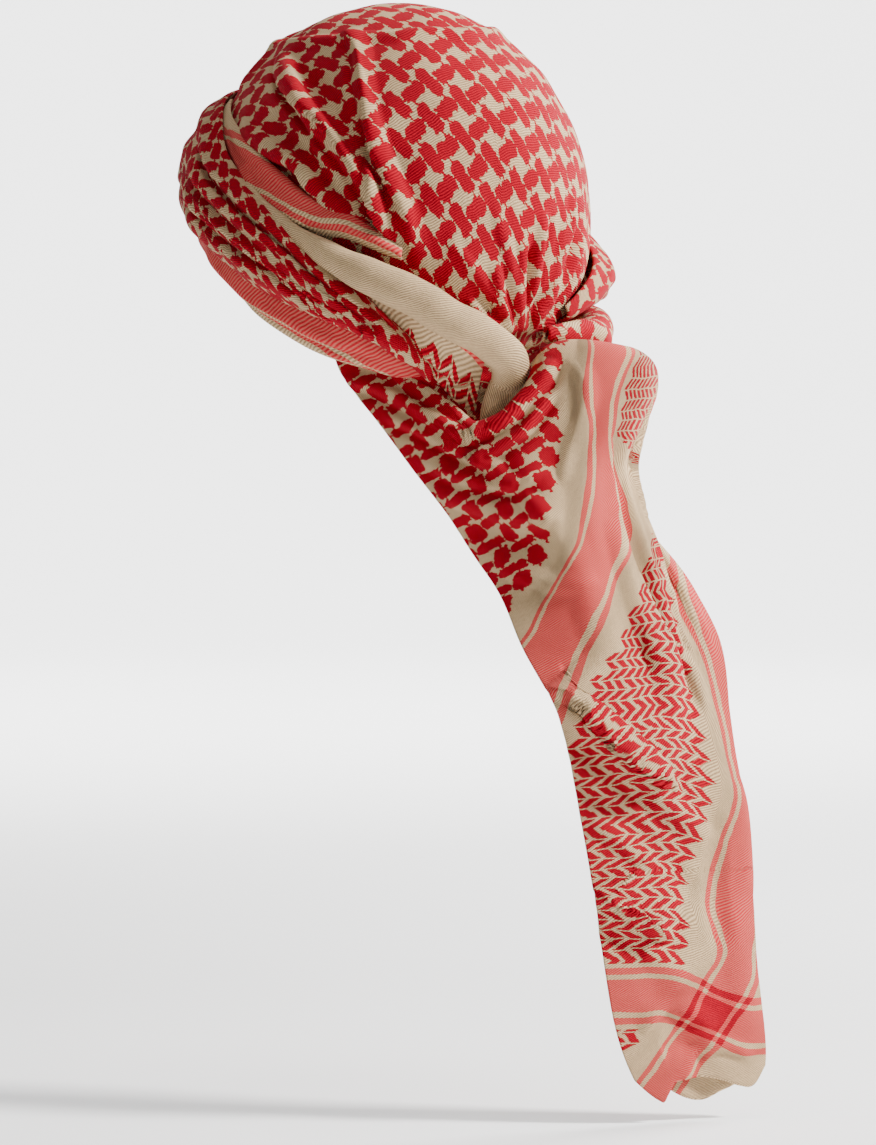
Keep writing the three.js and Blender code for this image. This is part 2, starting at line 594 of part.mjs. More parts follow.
add('tail_back', wallOf(backAt, STEPS.back, TAIL_WALL), RED);

export default group;
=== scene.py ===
"""Cotton scarf wound as a turban, with its tail hanging down the back.

The scarf is woven cotton: red supplementary yarn on a tan ground, with striped borders.
Every sheet follows the solid that it stands for, but for some rows of the tables, which are in
millimetres.
"""

import math
from functools import partial

import bpy
import numpy as np
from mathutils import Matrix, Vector


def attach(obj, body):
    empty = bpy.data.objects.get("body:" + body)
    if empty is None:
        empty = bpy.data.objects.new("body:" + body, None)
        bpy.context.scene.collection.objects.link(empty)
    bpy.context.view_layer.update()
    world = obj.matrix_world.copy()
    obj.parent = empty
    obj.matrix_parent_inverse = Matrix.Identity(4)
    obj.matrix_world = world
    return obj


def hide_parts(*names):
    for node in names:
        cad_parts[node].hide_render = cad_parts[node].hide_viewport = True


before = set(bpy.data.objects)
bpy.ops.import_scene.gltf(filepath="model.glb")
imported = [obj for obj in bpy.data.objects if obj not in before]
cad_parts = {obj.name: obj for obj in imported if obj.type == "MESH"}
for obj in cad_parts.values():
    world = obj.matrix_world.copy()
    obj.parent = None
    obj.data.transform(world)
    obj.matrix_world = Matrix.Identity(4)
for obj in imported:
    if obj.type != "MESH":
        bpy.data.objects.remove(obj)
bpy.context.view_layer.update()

bl_info = {
    "name": "Wound Scarf Turban",
    "version": (1, 0, 0),
    "blender": (4, 5, 0),
    "location": "View3D > Sidebar > Scarf",
    "description": "Builds a woven cotton scarf wound as a turban, piece by piece",
    "category": "Add Mesh",
}

MM = 0.001
BODY = "root"


def columns(names, *rows):
    """Turns rows of numbers into one array for each named column."""
    return dict(zip(names.split(), np.array(rows, dtype=float).T))


# Sizes of the rounded form that the cloth keeps, measured from the origin downwards.
FORM_HALF_BREADTH = 78.0
FORM_HALF_LENGTH = 98.0
FORM_RISE = 97.0
NECK_SHARE = 0.68
NECK_BLEND = 0.1
NECK_BLEND_REACH = 28.0

# Distance from the form to the middle of each cloth wall, innermost first.
CROWN_LIFT = 0.8
UNDER_LIFT = 1.0
FOLD_LIFT = 3.0
BROW_LIFT = 5.3

# How the bands bulge, how pleats and folds fade at their ends, and where steps crowd together.
ARCH_POWER = 0.7
HANG_FULL_AT = 0.55
HANG_TURN_FROM = 0.8
HANG_TURN_BACK = 0.25
PLEAT_FADE = 14.0
PLEAT_END_FADE = 18.0
CROWN_DENSE_TURN = 130.0
CROWN_DENSE_SHIFT = 24.0
LIP_ROWS_SHARE = 0.18
TAIL_FOLD_FADE = 16.0
STEEP_SHARE = 0.6
# How far the tail's second layer stands behind the first one.
BACK_GAP = 6.0
BACK_GAP_AT_FOLD = 2.3
BACK_CLOSING_FROM = 0.3
# Steps for taking slopes, and the least sizes that keep them sound.
SLOPE_STEP = 0.5
SHARE_STEP = 0.01
LEAST_DROP = 0.02
TINY = 1e-9
# The listed creases carry part of the pleats' height, so the wide ridges are lowered.
CROWN_PLEAT_SHARE = 0.55
BAND_PLEAT_SHARE = 0.45
TAIL_FOLD_SHARE = 0.8
# At the back the crown's cloth runs on under the knot, tucked a little inwards.
CROWN_TUCK = 24.0
CROWN_TUCK_DEPTH = 0.8
CROWN_TUCK_TURNS = (128.0, 150.0, 236.0, 252.0)
CROWN_TUCK_FADE = (-2.0, 6.0)

# The solids' tables, with other rows at the start of the plain roll and of the nape layer, at the
# tail's right edge and at its lip. A turn is 0 in front, 90 on the left and 180 behind; a drop is
# the distance below the origin; top and foot are the drops of a band's two edges.
CROWN_FOOT = columns(
    "turn drop",
    (-180, 155), (-166, 154), (-150, 149), (-125, 136), (-100, 124), (-60, 101), (0, 90), (53, 95),
    (82, 110), (107, 126), (133, 142), (155, 151), (180, 155),
)
CROWN_PLEATS = columns(
    "turnA dropA turnB dropB bend height half",
    (74, 26, 129, 112, 9, 3.4, 8.0), (106, 22, 133, 116, 4, 3.0, 7.5), (68, 54, 114, 98, 6, 2.6, 7.0),
    (146, 112, 172, 152, 0, 2.4, 5.5), (160, 98, 176, 152, -1, 3.0, 5.5),
    (188, 96, 183, 152, 1, 3.2, 5.5), (206, 104, 190, 150, 2, 2.8, 5.5), (224, 84, 202, 138, 2, 2.0, 6.5),
    (260, 24, 234, 108, -6, 3.4, 8.0), (286, 40, 256, 94, -5, 2.6, 7.0), (322, 14, 312, 48, 0, 2.0, 8.0),
    (30, 12, 42, 44, 0, 2.0, 8.0),
)
BROW = columns(
    "turn top foot rise",
    (-166, 138, 144, 2.5), (-155, 129, 139, 6.0), (-140, 119, 135, 9.0), (-124, 109, 129, 10.0),
    (-106, 94, 122, 9.5), (-84, 74, 116, 9.0), (-58, 56, 110, 8.5), (-28, 43, 104, 8.0),
    (0, 39, 102, 8.0), (28, 42, 103, 8.0), (53, 52, 107, 8.0), (69, 70, 117, 8.0), (84, 86, 129, 8.0),
    (97, 101, 138, 7.5), (107, 117, 144, 7.0), (120, 134, 152, 6.0), (133, 151, 161, 5.0),
    (143, 164, 172, 3.5),
)
BROW_PLEATS = columns(
    "turnA acrossA turnB acrossB height half",
    (-150, 0.26, 96, 0.14, 2.4, 0.13),
    (-140, 0.64, 138, 0.34, 2.8, 0.13),
    (-30, 0.86, 136, 0.62, 2.8, 0.12),
    (56, 0.50, 130, 0.88, 1.8, 0.11),
)
UNDER = columns(
    "turn top foot rise",
    (-152, 154, 168, 1.5), (-138, 147, 166, 2.6), (-122, 139, 161, 2.8), (-104, 129, 154, 3.0),
    (-84, 120, 143, 3.0), (-58, 106, 118, 3.0), (-28, 98, 107, 2.4), (0, 96, 105, 2.4),
    (28, 97, 107, 2.4), (50, 102, 114, 2.6), (68, 112, 131, 3.2), (82, 122, 145, 4.0),
    (95, 132, 156, 4.0), (104, 139, 161, 4.0), (116, 147, 166, 3.6), (130, 157, 171, 2.6),
    (139, 163, 171, 0.8),
)
INNER = columns(
    "turn top foot rise",
    (108, 115, 125, 0.4), (118, 121, 139, 0.8), (130, 128, 154, 1.4), (142, 137, 167, 2.4),
    (154, 146, 182, 3.2), (164, 154, 188, 2.2),
)
STRIPE = columns(
    "turn top foot rise",
    (48, 45, 52, 0.3), (60, 53, 62, 0.6), (74, 62, 77, 2.0), (92, 78, 96, 3.0), (105, 92, 106, 4.0),
    (115, 98, 109, 4.4), (124, 106, 114, 4.0), (131, 114, 118, 2.4),
)
PLAIN_ROLL = columns(
    "turn drop wide high lift",
    (82, 85.0, 1.4, 1.2, 5.6), (94, 99.0, 2.6, 2.0, 7.0), (106, 111.5, 4.6, 3.4, 8.4),
    (113, 117.0, 6.2, 4.6, 9.6), (120, 122.0, 7.2, 5.4, 11.1),
    (129, 128.0, 8.4, 5.8, 11.7), (137, 133.5, 8.6, 6.0, 12.1), (147, 141.0, 8.6, 6.0, 12.7),
    (158, 148.5, 8.4, 6.0, 13.3), (168, 156.0, 8.2, 6.0, 13.3), (173, 166.0, 8.0, 5.8, 12.3),
    (173, 177.0, 7.6, 5.2, 10.8), (170, 188.0, 6.8, 4.4, 10.3), (168, 199.0, 5.0, 3.4, 11.3),
)
FULL_ROLL = columns(
    "turn drop wide high lift",
    (-74, 122.0, 2.6, 2.2, 8.6), (-88, 127.0, 5.0, 4.0, 10.0), (-102, 133.0, 7.0, 5.6, 11.6),
    (-118, 139.5, 8.2, 7.2, 13.2), (-133, 144.0, 9.0, 8.4, 15.5), (-147, 146.5, 9.0, 8.6, 16.5),
    (-160, 147.0, 7.8, 7.0, 14.5), (-170, 147.5, 5.6, 4.8, 11.6), (-176, 148.0, 2.8, 2.2, 9.6),
)
TAIL = columns(
    "drop leftX leftY crestX crestY rightX rightY face round",
    (148, 57, 12, -30, 112, -66, 50, 204, 1.0), (158, 56, 15, -34, 120, -66, 46, 204, 1.0),
    (172, 54, 21, -38, 127, -63, 42, 204, 1.0), (193, 48, 38, -32, 123, -58, 50, 202, 1.0),
    (213, 40, 51, -26, 117, -53, 72, 198, 0.9), (234, 30, 64, -23, 120, -58, 94, 192, 0.7),
    (253, 22, 73, -22, 125, -65, 112, 184, 0.5), (271, 18, 86, -22, 130, -69, 126, 176, 0.3),
    (294, 19, 101, -22, 136, -69, 142, 168, 0.1), (327, 15, 121, -23, 143, -65, 152, 162, 0.0),
    (377, 7, 128, -27, 146, -70, 157, 160, 0.0), (419, 1, 132, -33, 149, -73, 159, 160, 0.0),
    (460, -5, 135, -38, 151, -76, 161, 160, 0.0), (483, -11, 138, -44, 153, -78, 162, 160, 0.0),
    (505, -22, 142, -48, 155, -75, 162, 160, 0.0),
)
TAIL_ENDS = columns(
    "across lip hem lipRadius lipAngle",
    (-1.0, 164, 492, 8, 20), (-0.93, 166, 496, 8, 20), (-0.86, 171, 499, 8, 20), (-0.79, 181, 501, 7, 28),
    (-0.72, 194, 502, 6, 70), (-0.62, 185, 499, 7, 120), (-0.53, 166, 496, 9, 155),
    (-0.44, 156, 493, 11, 165), (-0.28, 152, 492, 11, 160), (0.0, 152, 491, 12, 160),
    (0.3, 157, 493, 12, 160), (0.6, 164, 496, 10, 150), (0.85, 173, 496, 7, 120), (1.0, 180, 488, 5, 90),
)
TAIL_FOLDS = columns(
    "acrossA dropA acrossB dropB height half",
    (0.42, 196, 0.24, 326, 5.0, 12), (-0.10, 188, -0.04, 320, -2.6, 12), (0.66, 206, 0.62, 300, -4.0, 11),
    (-1.0, 318, 0.40, 382, 5.0, 14), (-1.0, 352, 0.20, 406, -2.5, 13), (-1.0, 408, -0.10, 446, 3.0, 13),
    (-0.92, 184, -0.50, 240, 3.0, 11), (-0.56, 208, -0.34, 300, 2.6, 12), (0.82, 330, 0.74, 470, 2.0, 12),
    (-0.40, 448, 0.10, 500, -2.2, 12),
)
NAPE = columns(
    "turn top foot rise",
    (126, 162, 170, -1.0), (134, 161, 179, -0.5), (141, 160, 183, 0), (148, 159, 188, 0),
    (156, 158, 200, 0), (166, 159, 211, 0), (176, 160, 214, 0),
    (192, 160, 212, 0), (200, 160, 208, 0), (206, 172, 204, 0), (220, 172, 194, 0), (236, 168, 186, 0),
)
BACK_ENDS = columns(
    "across lip hem",
    (-0.80, 262, 488), (-0.4, 250, 499), (0.0, 246, 502), (0.4, 250, 498), (0.84, 262, 492),
)

# Listed creases: height, gentle reach, steep reach, then the line's points.
# On the crown the points are turn and drop.
CROWN_CREASES = (
    (4.9, 10, 2.2, (62, 22), (84, 38), (96, 50), (107, 63), (117, 80), (123, 96), (126, 110)),
    (4.2, 9, 2.0, (98, 14), (111, 24), (116, 41), (120, 58), (123, 71), (127, 85), (131, 99), (136, 122)),
    (2.9, 6, 1.8, (122, 68), (121, 85), (125, 102), (130, 116)),
    (3.9, 8, 2.4, (66, 56), (80, 66), (98, 77), (107, 92), (117, 103), (125, 113)),
    (-2.1, 9, 9, (84, 30), (104, 44), (114, 60), (120, 76)),
    (-1.8, 7, 7, (76, 48), (92, 60), (104, 76), (114, 92)),
    (2.0, 6, 3.0, (78, 28), (92, 44), (102, 62), (110, 80)),
    (3.4, 6, 2.4, (179, 152), (191, 132), (197, 118), (206, 104)),
    (3.1, 6, 2.2, (180, 151), (185, 138), (190, 122), (192, 104), (196, 86)),
    (2.9, 5, 2.2, (178, 151), (177, 134), (177, 116), (178, 96)),
    (2.6, 5, 2.2, (177, 150), (173, 138), (171, 123), (170, 108)),
    (3.4, 6, 2.4, (180, 152), (197, 144), (213, 134), (224, 122)),
    (2.3, 5, 2.2, (175, 151), (167, 141), (163, 131), (160, 120)),
    (2.1, 5, 2.2, (174, 151), (160, 144), (152, 136)),
    (-2.1, 6, 6, (179, 149), (187, 128), (194, 110), (202, 92)),
    (-1.8, 5, 5, (178, 149), (174, 130), (173, 112)),
    (5.0, 10, 2.4, (296, 20), (272, 38), (256, 60), (245, 84), (237, 108)),
    (2.4, 8, 2.2, (286, 62), (270, 76), (254, 92), (240, 108), (226, 122)),
    (3.8, 8, 2.4, (312, 34), (292, 50), (272, 68), (256, 92)),
    (-2.2, 9, 9, (300, 30), (276, 48), (260, 74), (248, 96)),
    (2.2, 8, 3.0, (330, 12), (318, 26), (308, 44)),
    (2.5, 9, 3.2, (28, 12), (40, 26), (48, 42)),
    (1.9, 8, 4.0, (352, 10), (2, 22), (6, 36)),
)
# On the bands the points are turn and the share across the band, 0 above and 1 below.
BROW_CREASES = (
    (1.2, 9, 3.4, (-140, 0.40), (-100, 0.24), (-40, 0.16), (20, 0.16), (60, 0.20)),
    (1.4, 9, 3.4, (-120, 0.62), (-70, 0.46), (0, 0.38), (60, 0.40)),
    (1.2, 9, 3.4, (-60, 0.74), (0, 0.60), (40, 0.60), (66, 0.58)),
    (3.4, 9, 1.6, (55, 0.20), (68, 0.19), (84, 0.17), (104, 0.17), (124, 0.20)),
    (3.8, 9, 1.6, (55, 0.40), (68, 0.39), (84, 0.36), (112, 0.36), (134, 0.40)),
    (3.6, 9, 1.6, (55, 0.59), (64, 0.585), (72, 0.58), (100, 0.54), (124, 0.58), (138, 0.62)),
    (3.0, 8, 1.6, (52, 0.80), (66, 0.79), (86, 0.76), (112, 0.76), (134, 0.80)),
    (1.8, 5, 1.4, (64, 0.50), (78, 0.50), (96, 0.46), (118, 0.48)),
    (1.6, 4, 1.4, (66, 0.70), (84, 0.68), (104, 0.66), (124, 0.70)),
    (-1.6, 5, 5, (40, 0.50), (70, 0.48), (90, 0.46), (120, 0.48)),
    (1.8, 6, 2.0, (-150, 0.30), (-126, 0.46), (-96, 0.62), (-60, 0.88)),
    (1.4, 5, 2.0, (-146, 0.66), (-118, 0.82), (-86, 0.92)),
)
UNDER_CREASES = (
    (1.4, 5, 1.8, (54, 0.80), (74, 0.74), (94, 0.62), (116, 0.56)),
    (-1.0, 4, 4, (60, 0.92), (84, 0.88), (106, 0.80)),
    (1.2, 5, 1.8, (72, 0.96), (92, 0.90), (112, 0.84), (128, 0.80)),
    (1.4, 5, 1.8, (-130, 0.70), (-104, 0.72), (-76, 0.78)),
)
INNER_CREASES = (
    (1.4, 5, 1.6, (112, 0.40), (124, 0.34), (138, 0.26), (152, 0.20)),
    (-1.4, 6, 6, (124, 0.62), (138, 0.56), (152, 0.50)),
    (1.6, 6, 2.0, (132, 0.90), (144, 0.78), (156, 0.66)),
)
STRIPE_CREASES = (
    (1.2, 4, 1.6, (60, 0.30), (78, 0.22), (96, 0.16), (110, 0.12)),
    (-1.0, 4, 4, (66, 0.60), (84, 0.56), (100, 0.52)),
    (1.0, 4, 1.6, (76, 0.86), (92, 0.84), (106, 0.80)),
)
# On the tail the points are the share across, -1 left to 1 right, and the drop.
TAIL_CREASES = (
    (9.0, 44, 3.0, (-1.0, 314), (-0.93, 320), (-0.82, 326), (-0.61, 336), (-0.38, 347), (-0.14, 356),
     (0.2, 362)),
    (-3.0, 9, 9, (-0.98, 336), (-0.7, 346), (-0.4, 358), (-0.1, 366)),
    (7.0, 32, 2.8, (-1.0, 404), (-0.91, 411), (-0.70, 416), (-0.55, 419), (-0.37, 424), (-0.1, 428)),
    (-2.5, 8, 8, (-0.96, 422), (-0.7, 428), (-0.45, 432)),
    (-3.8, 9, 2.6, (-0.20, 196), (0.02, 214), (0.11, 228), (0.18, 260), (0.26, 284), (0.42, 304),
     (0.58, 324)),
    (3.2, 8, 8, (-0.02, 236), (0.02, 262), (0.10, 288), (0.24, 308)),
    (2.0, 6, 2.0, (0.40, 268), (0.50, 284), (0.62, 298)),
    (1.7, 5, 2.0, (0.34, 286), (0.48, 300), (0.60, 312), (0.70, 326)),
    (4.6, 7, 2.4, (-0.86, 206), (-0.74, 199), (-0.63, 193), (-0.57, 184), (-0.50, 172), (-0.46, 164)),
    (3.5, 6, 2.2, (-0.76, 212), (-0.64, 203), (-0.57, 196), (-0.53, 188), (-0.48, 178)),
    (3.5, 6, 2.2, (-1.0, 174), (-0.94, 178), (-0.89, 186), (-0.82, 196), (-0.72, 206)),
    (2.9, 5, 2.2, (-0.97, 190), (-0.90, 196), (-0.80, 206), (-0.66, 216)),
    (2.6, 6, 2.6, (-0.95, 210), (-0.84, 218), (-0.66, 222), (-0.48, 216)),
    (2.9, 12, 5, (-0.97, 225), (-0.90, 229), (-0.76, 234), (-0.59, 237), (-0.44, 239)),
    (-2.3, 9, 9, (-0.96, 238), (-0.80, 245), (-0.60, 248)),
    (2.0, 9, 5, (-0.96, 256), (-0.76, 264), (-0.5, 268), (-0.3, 264)),
    (2.6, 8, 3.0, (-0.42, 164), (-0.38, 180), (-0.38, 200), (-0.40, 222)),
    (2.3, 12, 6, (-0.98, 372), (-0.66, 380), (-0.30, 392), (0.1, 400)),
    (-2.0, 9, 9, (0.70, 372), (0.56, 392), (0.50, 414), (0.58, 436)),
    (1.7, 8, 8, (0.92, 356), (0.96, 384), (0.90, 410)),
    (2.3, 8, 3.0, (-0.70, 470), (-0.40, 462), (-0.05, 462), (0.30, 470)),
    (-2.3, 8, 8, (-0.50, 480), (-0.20, 476), (0.15, 482)),
    (2.0, 6, 2.4, (-0.30, 492), (0.05, 480), (0.40, 478), (0.8, 484)),
    (3.2, 8, 2.6, (0.30, 168), (0.36, 200), (0.40, 240), (0.44, 280)),
    (2.6, 8, 2.6, (0.60, 184), (0.66, 214), (0.70, 252), (0.74, 290)),
    (-2.6, 8, 8, (0.50, 190), (0.54, 230), (0.56, 268)),
)
NAPE_CREASES = (
    (1.4, 5, 1.8, (146, 0.30), (156, 0.34), (168, 0.30), (182, 0.22)),
    (1.2, 5, 1.8, (148, 0.66), (160, 0.62), (174, 0.56), (190, 0.50)),
)

# Where the woven borders run on the tail. At each drop the columns give the place to the
# right, as seen from behind on the left, of the field's edge, the wide stripe's two edges,
# the second thin stripe, the zigzag's outer edge and the outer thin and wide stripes.
BORDER_RUN = columns(
    "drop field wide_a wide_b thin zig outer wide_c",
    (146, 84, 92, 108, 113, 128, 136, 158),
    (160, 82, 90.5, 106, 110, 127, 136, 158),
    (178, 76, 89.5, 99, 102.5, 124, 134, 156),
    (196, 79.5, 91.5, 97, 100, 121, 131, 152),
    (216, 77, 91.5, 100.5, 103, 118, 127, 145),
    (234, 73.5, 89, 102.5, 106.5, 116, 124, 141),
    (247, 74.5, 85.5, 103.5, 108.5, 118, 126, 143),
    (262, 69, 78, 98.5, 103, 122, 128.5, 146),
    (277, 57, 69, 92, 96.5, 127.5, 133, 150),
    (288, 52, 64, 86, 92, 131, 137.5, 153),
    (300, 44, 55, 80.5, 86, 136, 141.5, 156),
    (312, 38, 49, 76, 81.5, 139, 144, 158),
    (326, 30, 42, 70, 76, 141, 147.5, 161),
    (345, 20, 33, 62, 68, 146, 151, 164),
    (362, 12, 25, 54, 60, 148, 154, 166),
    (380, 6, 20, 48, 54, 143, 150, 165),
    (397, 2, 16, 44, 50, 138, 145, 164),
    (411, 0, 14, 42, 48, 134.5, 142.5, 164),
    (424, -2, 12, 40, 46, 138, 146, 164),
    (436, -4, 10, 38, 44, 136, 149, 163),
    (448, -8, 6, 34, 40, 131, 141, 162),
    (470, -20, -6, 22, 28, 117, 127, 148),
    (505, -44, -30, -2, 4, 92, 102, 123),
)
# Distances of those lines outward from the edge of the checked field, as woven.
FIELD_EDGE = 0.0
THIN_A = 13.0
THIN_WIDTH = 3.2
WIDE_A = 18.5
WIDE_WIDTH = 15.0
THIN_B = 35.8
ZIGZAG_FROM = 47.5
ZIGZAG_TO = 102.5
THIN_C = 114.5
WIDE_C = 120.0
THIN_D = 137.3
BORDER_LINES = (
    FIELD_EDGE, WIDE_A, WIDE_A + WIDE_WIDTH, THIN_B + THIN_WIDTH / 2,
    ZIGZAG_TO, THIN_C + THIN_WIDTH / 2, WIDE_C + WIDE_WIDTH,
)

# The second border crosses the tail near its hem and sinks towards the right.
CROSS_DROP = 427.0
CROSS_SINK = 17.0


def mix(a, b, t):
    return a + (b - a) * t


def smooth(x, low, high):
    """Runs softly from 0 to 1 between two limits."""
    t = np.clip((x - low) / (high - low), 0.0, 1.0)
    return t * t * (3.0 - 2.0 * t)


def window(x, rise_from, rise_to, fall_from, fall_to):
    """Softly rises from 0 to 1 and falls back to 0."""
    return smooth(x, rise_from, rise_to) * (1.0 - smooth(x, fall_from, fall_to))


def each(rows):
    """Gives a table's rows one by one."""
    for values in zip(*rows.values()):
        yield dict(zip(rows, values))


def read(rows, key, place):
    """Reads every column at many places, with a smooth curve through the rows."""
    place = np.asarray(place, dtype=float)
    keys = rows[key]
    last = len(keys) - 1
    way = 1.0 if keys[-1] > keys[0] else -1.0
    i = np.searchsorted(way * keys[1:last], way * place, side="left")
    before = np.maximum(0, i - 1)
    after = np.minimum(last, i + 2)
    span = keys[i + 1] - keys[i]
    t = np.clip((place - keys[i]) / span, 0.0, 1.0)
    t2 = t * t
    t3 = t2 * t
    out = {}
    for name, column in rows.items():
        slope_a = (column[i + 1] - column[before]) / (keys[i + 1] - keys[before]) * span
        slope_b = (column[after] - column[i]) / (keys[after] - keys[i]) * span
        out[name] = (
            (2 * t3 - 3 * t2 + 1) * column[i]
            + (t3 - 2 * t2 + t) * slope_a
            + (3 * t2 - 2 * t3) * column[i + 1]
            + (t3 - t2) * slope_b
        )
    return out


def along(rows, share):
    """Reads a table by its share of the way from the first row to the last."""
    numbered = dict(rows, number=np.arange(len(next(iter(rows.values()))), dtype=float))
    return read(numbered, "number", share * (len(numbered["number"]) - 1))


def unit(vectors):
    return vectors / np.maximum(np.linalg.norm(vectors, axis=-1, keepdims=True), TINY)


def girth(drop):
    """How much of the form's full girth is left at a drop: an oval, then a narrower stem."""
    oval = np.sqrt(np.maximum(0.0, 1.0 - ((FORM_RISE - drop) / FORM_RISE) ** 2))
    blend = NECK_BLEND * smooth(drop, FORM_RISE, FORM_RISE + NECK_BLEND_REACH)
    neck = (oval + NECK_SHARE + np.hypot(oval - NECK_SHARE, blend)) / 2.0
    return np.where(drop <= FORM_RISE, oval, neck)


def on_form(turn, drop):
    """A place on the rounded form."""
    share = girth(drop)
    angle = np.radians(turn)
    return np.stack(
        [FORM_HALF_BREADTH * share * np.sin(angle), -FORM_HALF_LENGTH * share * np.cos(angle), -drop],
        axis=-1,
    )


def form_normal(turn, drop):
    """The way out from the form at a place on it."""
    drop = np.maximum(drop, LEAST_DROP)
    step = np.minimum(SLOPE_STEP, drop / 2.0)
    acrossway = on_form(turn + SLOPE_STEP, drop) - on_form(turn - SLOPE_STEP, drop)
    downway = on_form(turn, drop + step) - on_form(turn, drop - step)
    return unit(np.cross(downway, acrossway))


def lifted(turn, drop, lift):
    """A place at a given distance from the form."""
    turn, drop, lift = np.broadcast_arrays(turn, drop, lift)
    return on_form(turn, drop) + form_normal(turn, drop) * lift[..., None]


def bump(distance, half):
    """A soft ridge, 1 in the middle and 0 from half its breadth outwards."""
    t = np.minimum(1.0, np.abs(distance) / half)
    return (1.0 - t * t) ** 2


def crown_pleats(turn, drop):
    """Height of the crown's wide pleats, as on the solid."""
    rise = np.zeros_like(drop)
    for row in each(CROWN_PLEATS):
        start, end = row["dropA"], row["dropB"]
        inside = np.clip((drop - start) / (end - start), 0.0, 1.0)
        line = mix(row["turnA"], row["turnB"], inside) + 4.0 * row["bend"] * inside * (1.0 - inside)
        wrapped = np.mod(turn - line + 180.0, 360.0) - 180.0
        distance = np.radians(wrapped) * girth(drop) * FORM_HALF_LENGTH
        fade = window(drop, start - PLEAT_FADE, start + PLEAT_FADE, end - PLEAT_FADE, end)
        rise += row["height"] * bump(distance, row["half"]) * fade
    return rise


def crown_at(u, v):
    """The crown's middle surface, with even steps down and steps round closer in the view."""
    even = mix(-180.0, 180.0, v)
    turn = even - CROWN_DENSE_SHIFT * np.sin(np.radians(even - CROWN_DENSE_TURN))
    seam = read(CROWN_FOOT, "turn", turn)["drop"]
    foot = seam + CROWN_TUCK * window(np.mod(turn, 360.0), *CROWN_TUCK_TURNS)
    below = math.pi / 2 + (foot - FORM_RISE) / FORM_RISE
    reach = np.where(foot < FORM_RISE, np.arccos(np.clip(1.0 - foot / FORM_RISE, -1, 1)), below)
    angle = u * reach
    drop = np.where(
        angle < math.pi / 2,
        FORM_RISE * (1.0 - np.cos(angle)),
        FORM_RISE + FORM_RISE * (angle - math.pi / 2),
    )
    lift = CROWN_LIFT + CROWN_PLEAT_SHARE * crown_pleats(turn, drop)
    lift = lift - CROWN_TUCK_DEPTH * smooth(drop, *(seam + edge for edge in CROWN_TUCK_FADE))
    return lifted(turn, drop, lift), turn, drop


def arched(v):
    return np.sin(math.pi * np.clip(v, 0, 1)) ** ARCH_POWER


def domed(v):
    return np.sin(math.pi * v)


def hanging(v):
    return smooth(v, 0.0, HANG_FULL_AT) * (1.0 - HANG_TURN_BACK * smooth(v, HANG_TURN_FROM, 1.0))


def band_at(rows, base_lift, fullness, pleats, u, v):
    """A wound band's middle surface, fuller in its middle and pleated lengthways."""
    turn = mix(rows["turn"][0], rows["turn"][-1], u)
    row = read(rows, "turn", turn)
    drop = mix(row["top"], row["foot"], v)
    lift = base_lift + row["rise"] * fullness(v)
    for one in each(pleats):
        start, end = one["turnA"], one["turnB"]
        line = mix(one["acrossA"], one["acrossB"], np.clip((turn - start) / (end - start), 0.0, 1.0))
        fade = window(turn, start, start + PLEAT_END_FADE, end - PLEAT_END_FADE, end)
        lift = lift + BAND_PLEAT_SHARE * one["height"] * bump(v - line, one["half"]) * fade
    return lifted(turn, drop, lift)


def roll_at(rows, u, v):
    """A rolled turn: an oval tube along a line over the form."""
    row = along(rows, u)
    behind = along(rows, np.maximum(0.0, u - SHARE_STEP))
    ahead = along(rows, np.minimum(1.0, u + SHARE_STEP))
    centre = lifted(row["turn"], row["drop"], row["lift"])
    forward = unit(
        lifted(ahead["turn"], ahead["drop"], ahead["lift"])
        - lifted(behind["turn"], behind["drop"], behind["lift"])
    )
    outward = form_normal(row["turn"], row["drop"])
    outward = unit(outward - forward * np.sum(outward * forward, axis=-1, keepdims=True))
    sideways = np.cross(outward, forward)
    angle = 2.0 * math.pi * v
    return (
        centre
        + sideways * (row["wide"] * np.cos(angle))[..., None]
        + outward * (row["high"] * np.sin(angle))[..., None]
    )


def tail_surface(across, drop):
    """The hanging tail's smooth form, from -1 at its left edge to 1 at its right."""
    across, drop = np.broadcast_arrays(np.asarray(across, float), np.asarray(drop, float))
    row = read(TAIL, "drop", drop)
    face = np.radians(row["face"])
    out = np.stack([np.sin(face), -np.cos(face), np.zeros_like(face)], axis=-1)
    side = np.stack([-out[..., 1], out[..., 0], np.zeros_like(face)], axis=-1)
    crest = np.stack([row["crestX"], row["crestY"], -drop], axis=-1)
    left = np.stack([row["leftX"], row["leftY"], -drop], axis=-1)
    right = np.stack([row["rightX"], row["rightY"], -drop], axis=-1)
    offset = np.where((across < 0)[..., None], left, right) - crest
    t = np.abs(across)
    quarter = math.pi / 2 * t
    side_share = mix(t, np.sin(quarter), row["round"])
    in_share = mix(t * t, 1.0 - np.cos(quarter), row["round"])
    sideways = np.sum(offset * side, axis=-1) * side_share
    inward = np.sum(offset * out, axis=-1) * in_share
    return crest + side * sideways[..., None] + out * inward[..., None]


def tail_normal(across, drop):
    low = np.maximum(-1.0, across - SHARE_STEP)
    high = np.minimum(1.0, across + SHARE_STEP)
    acrossway = tail_surface(high, drop) - tail_surface(low, drop)
    downway = tail_surface(across, drop + SLOPE_STEP) - tail_surface(across, drop - SLOPE_STEP)
    return -unit(np.cross(acrossway, downway))


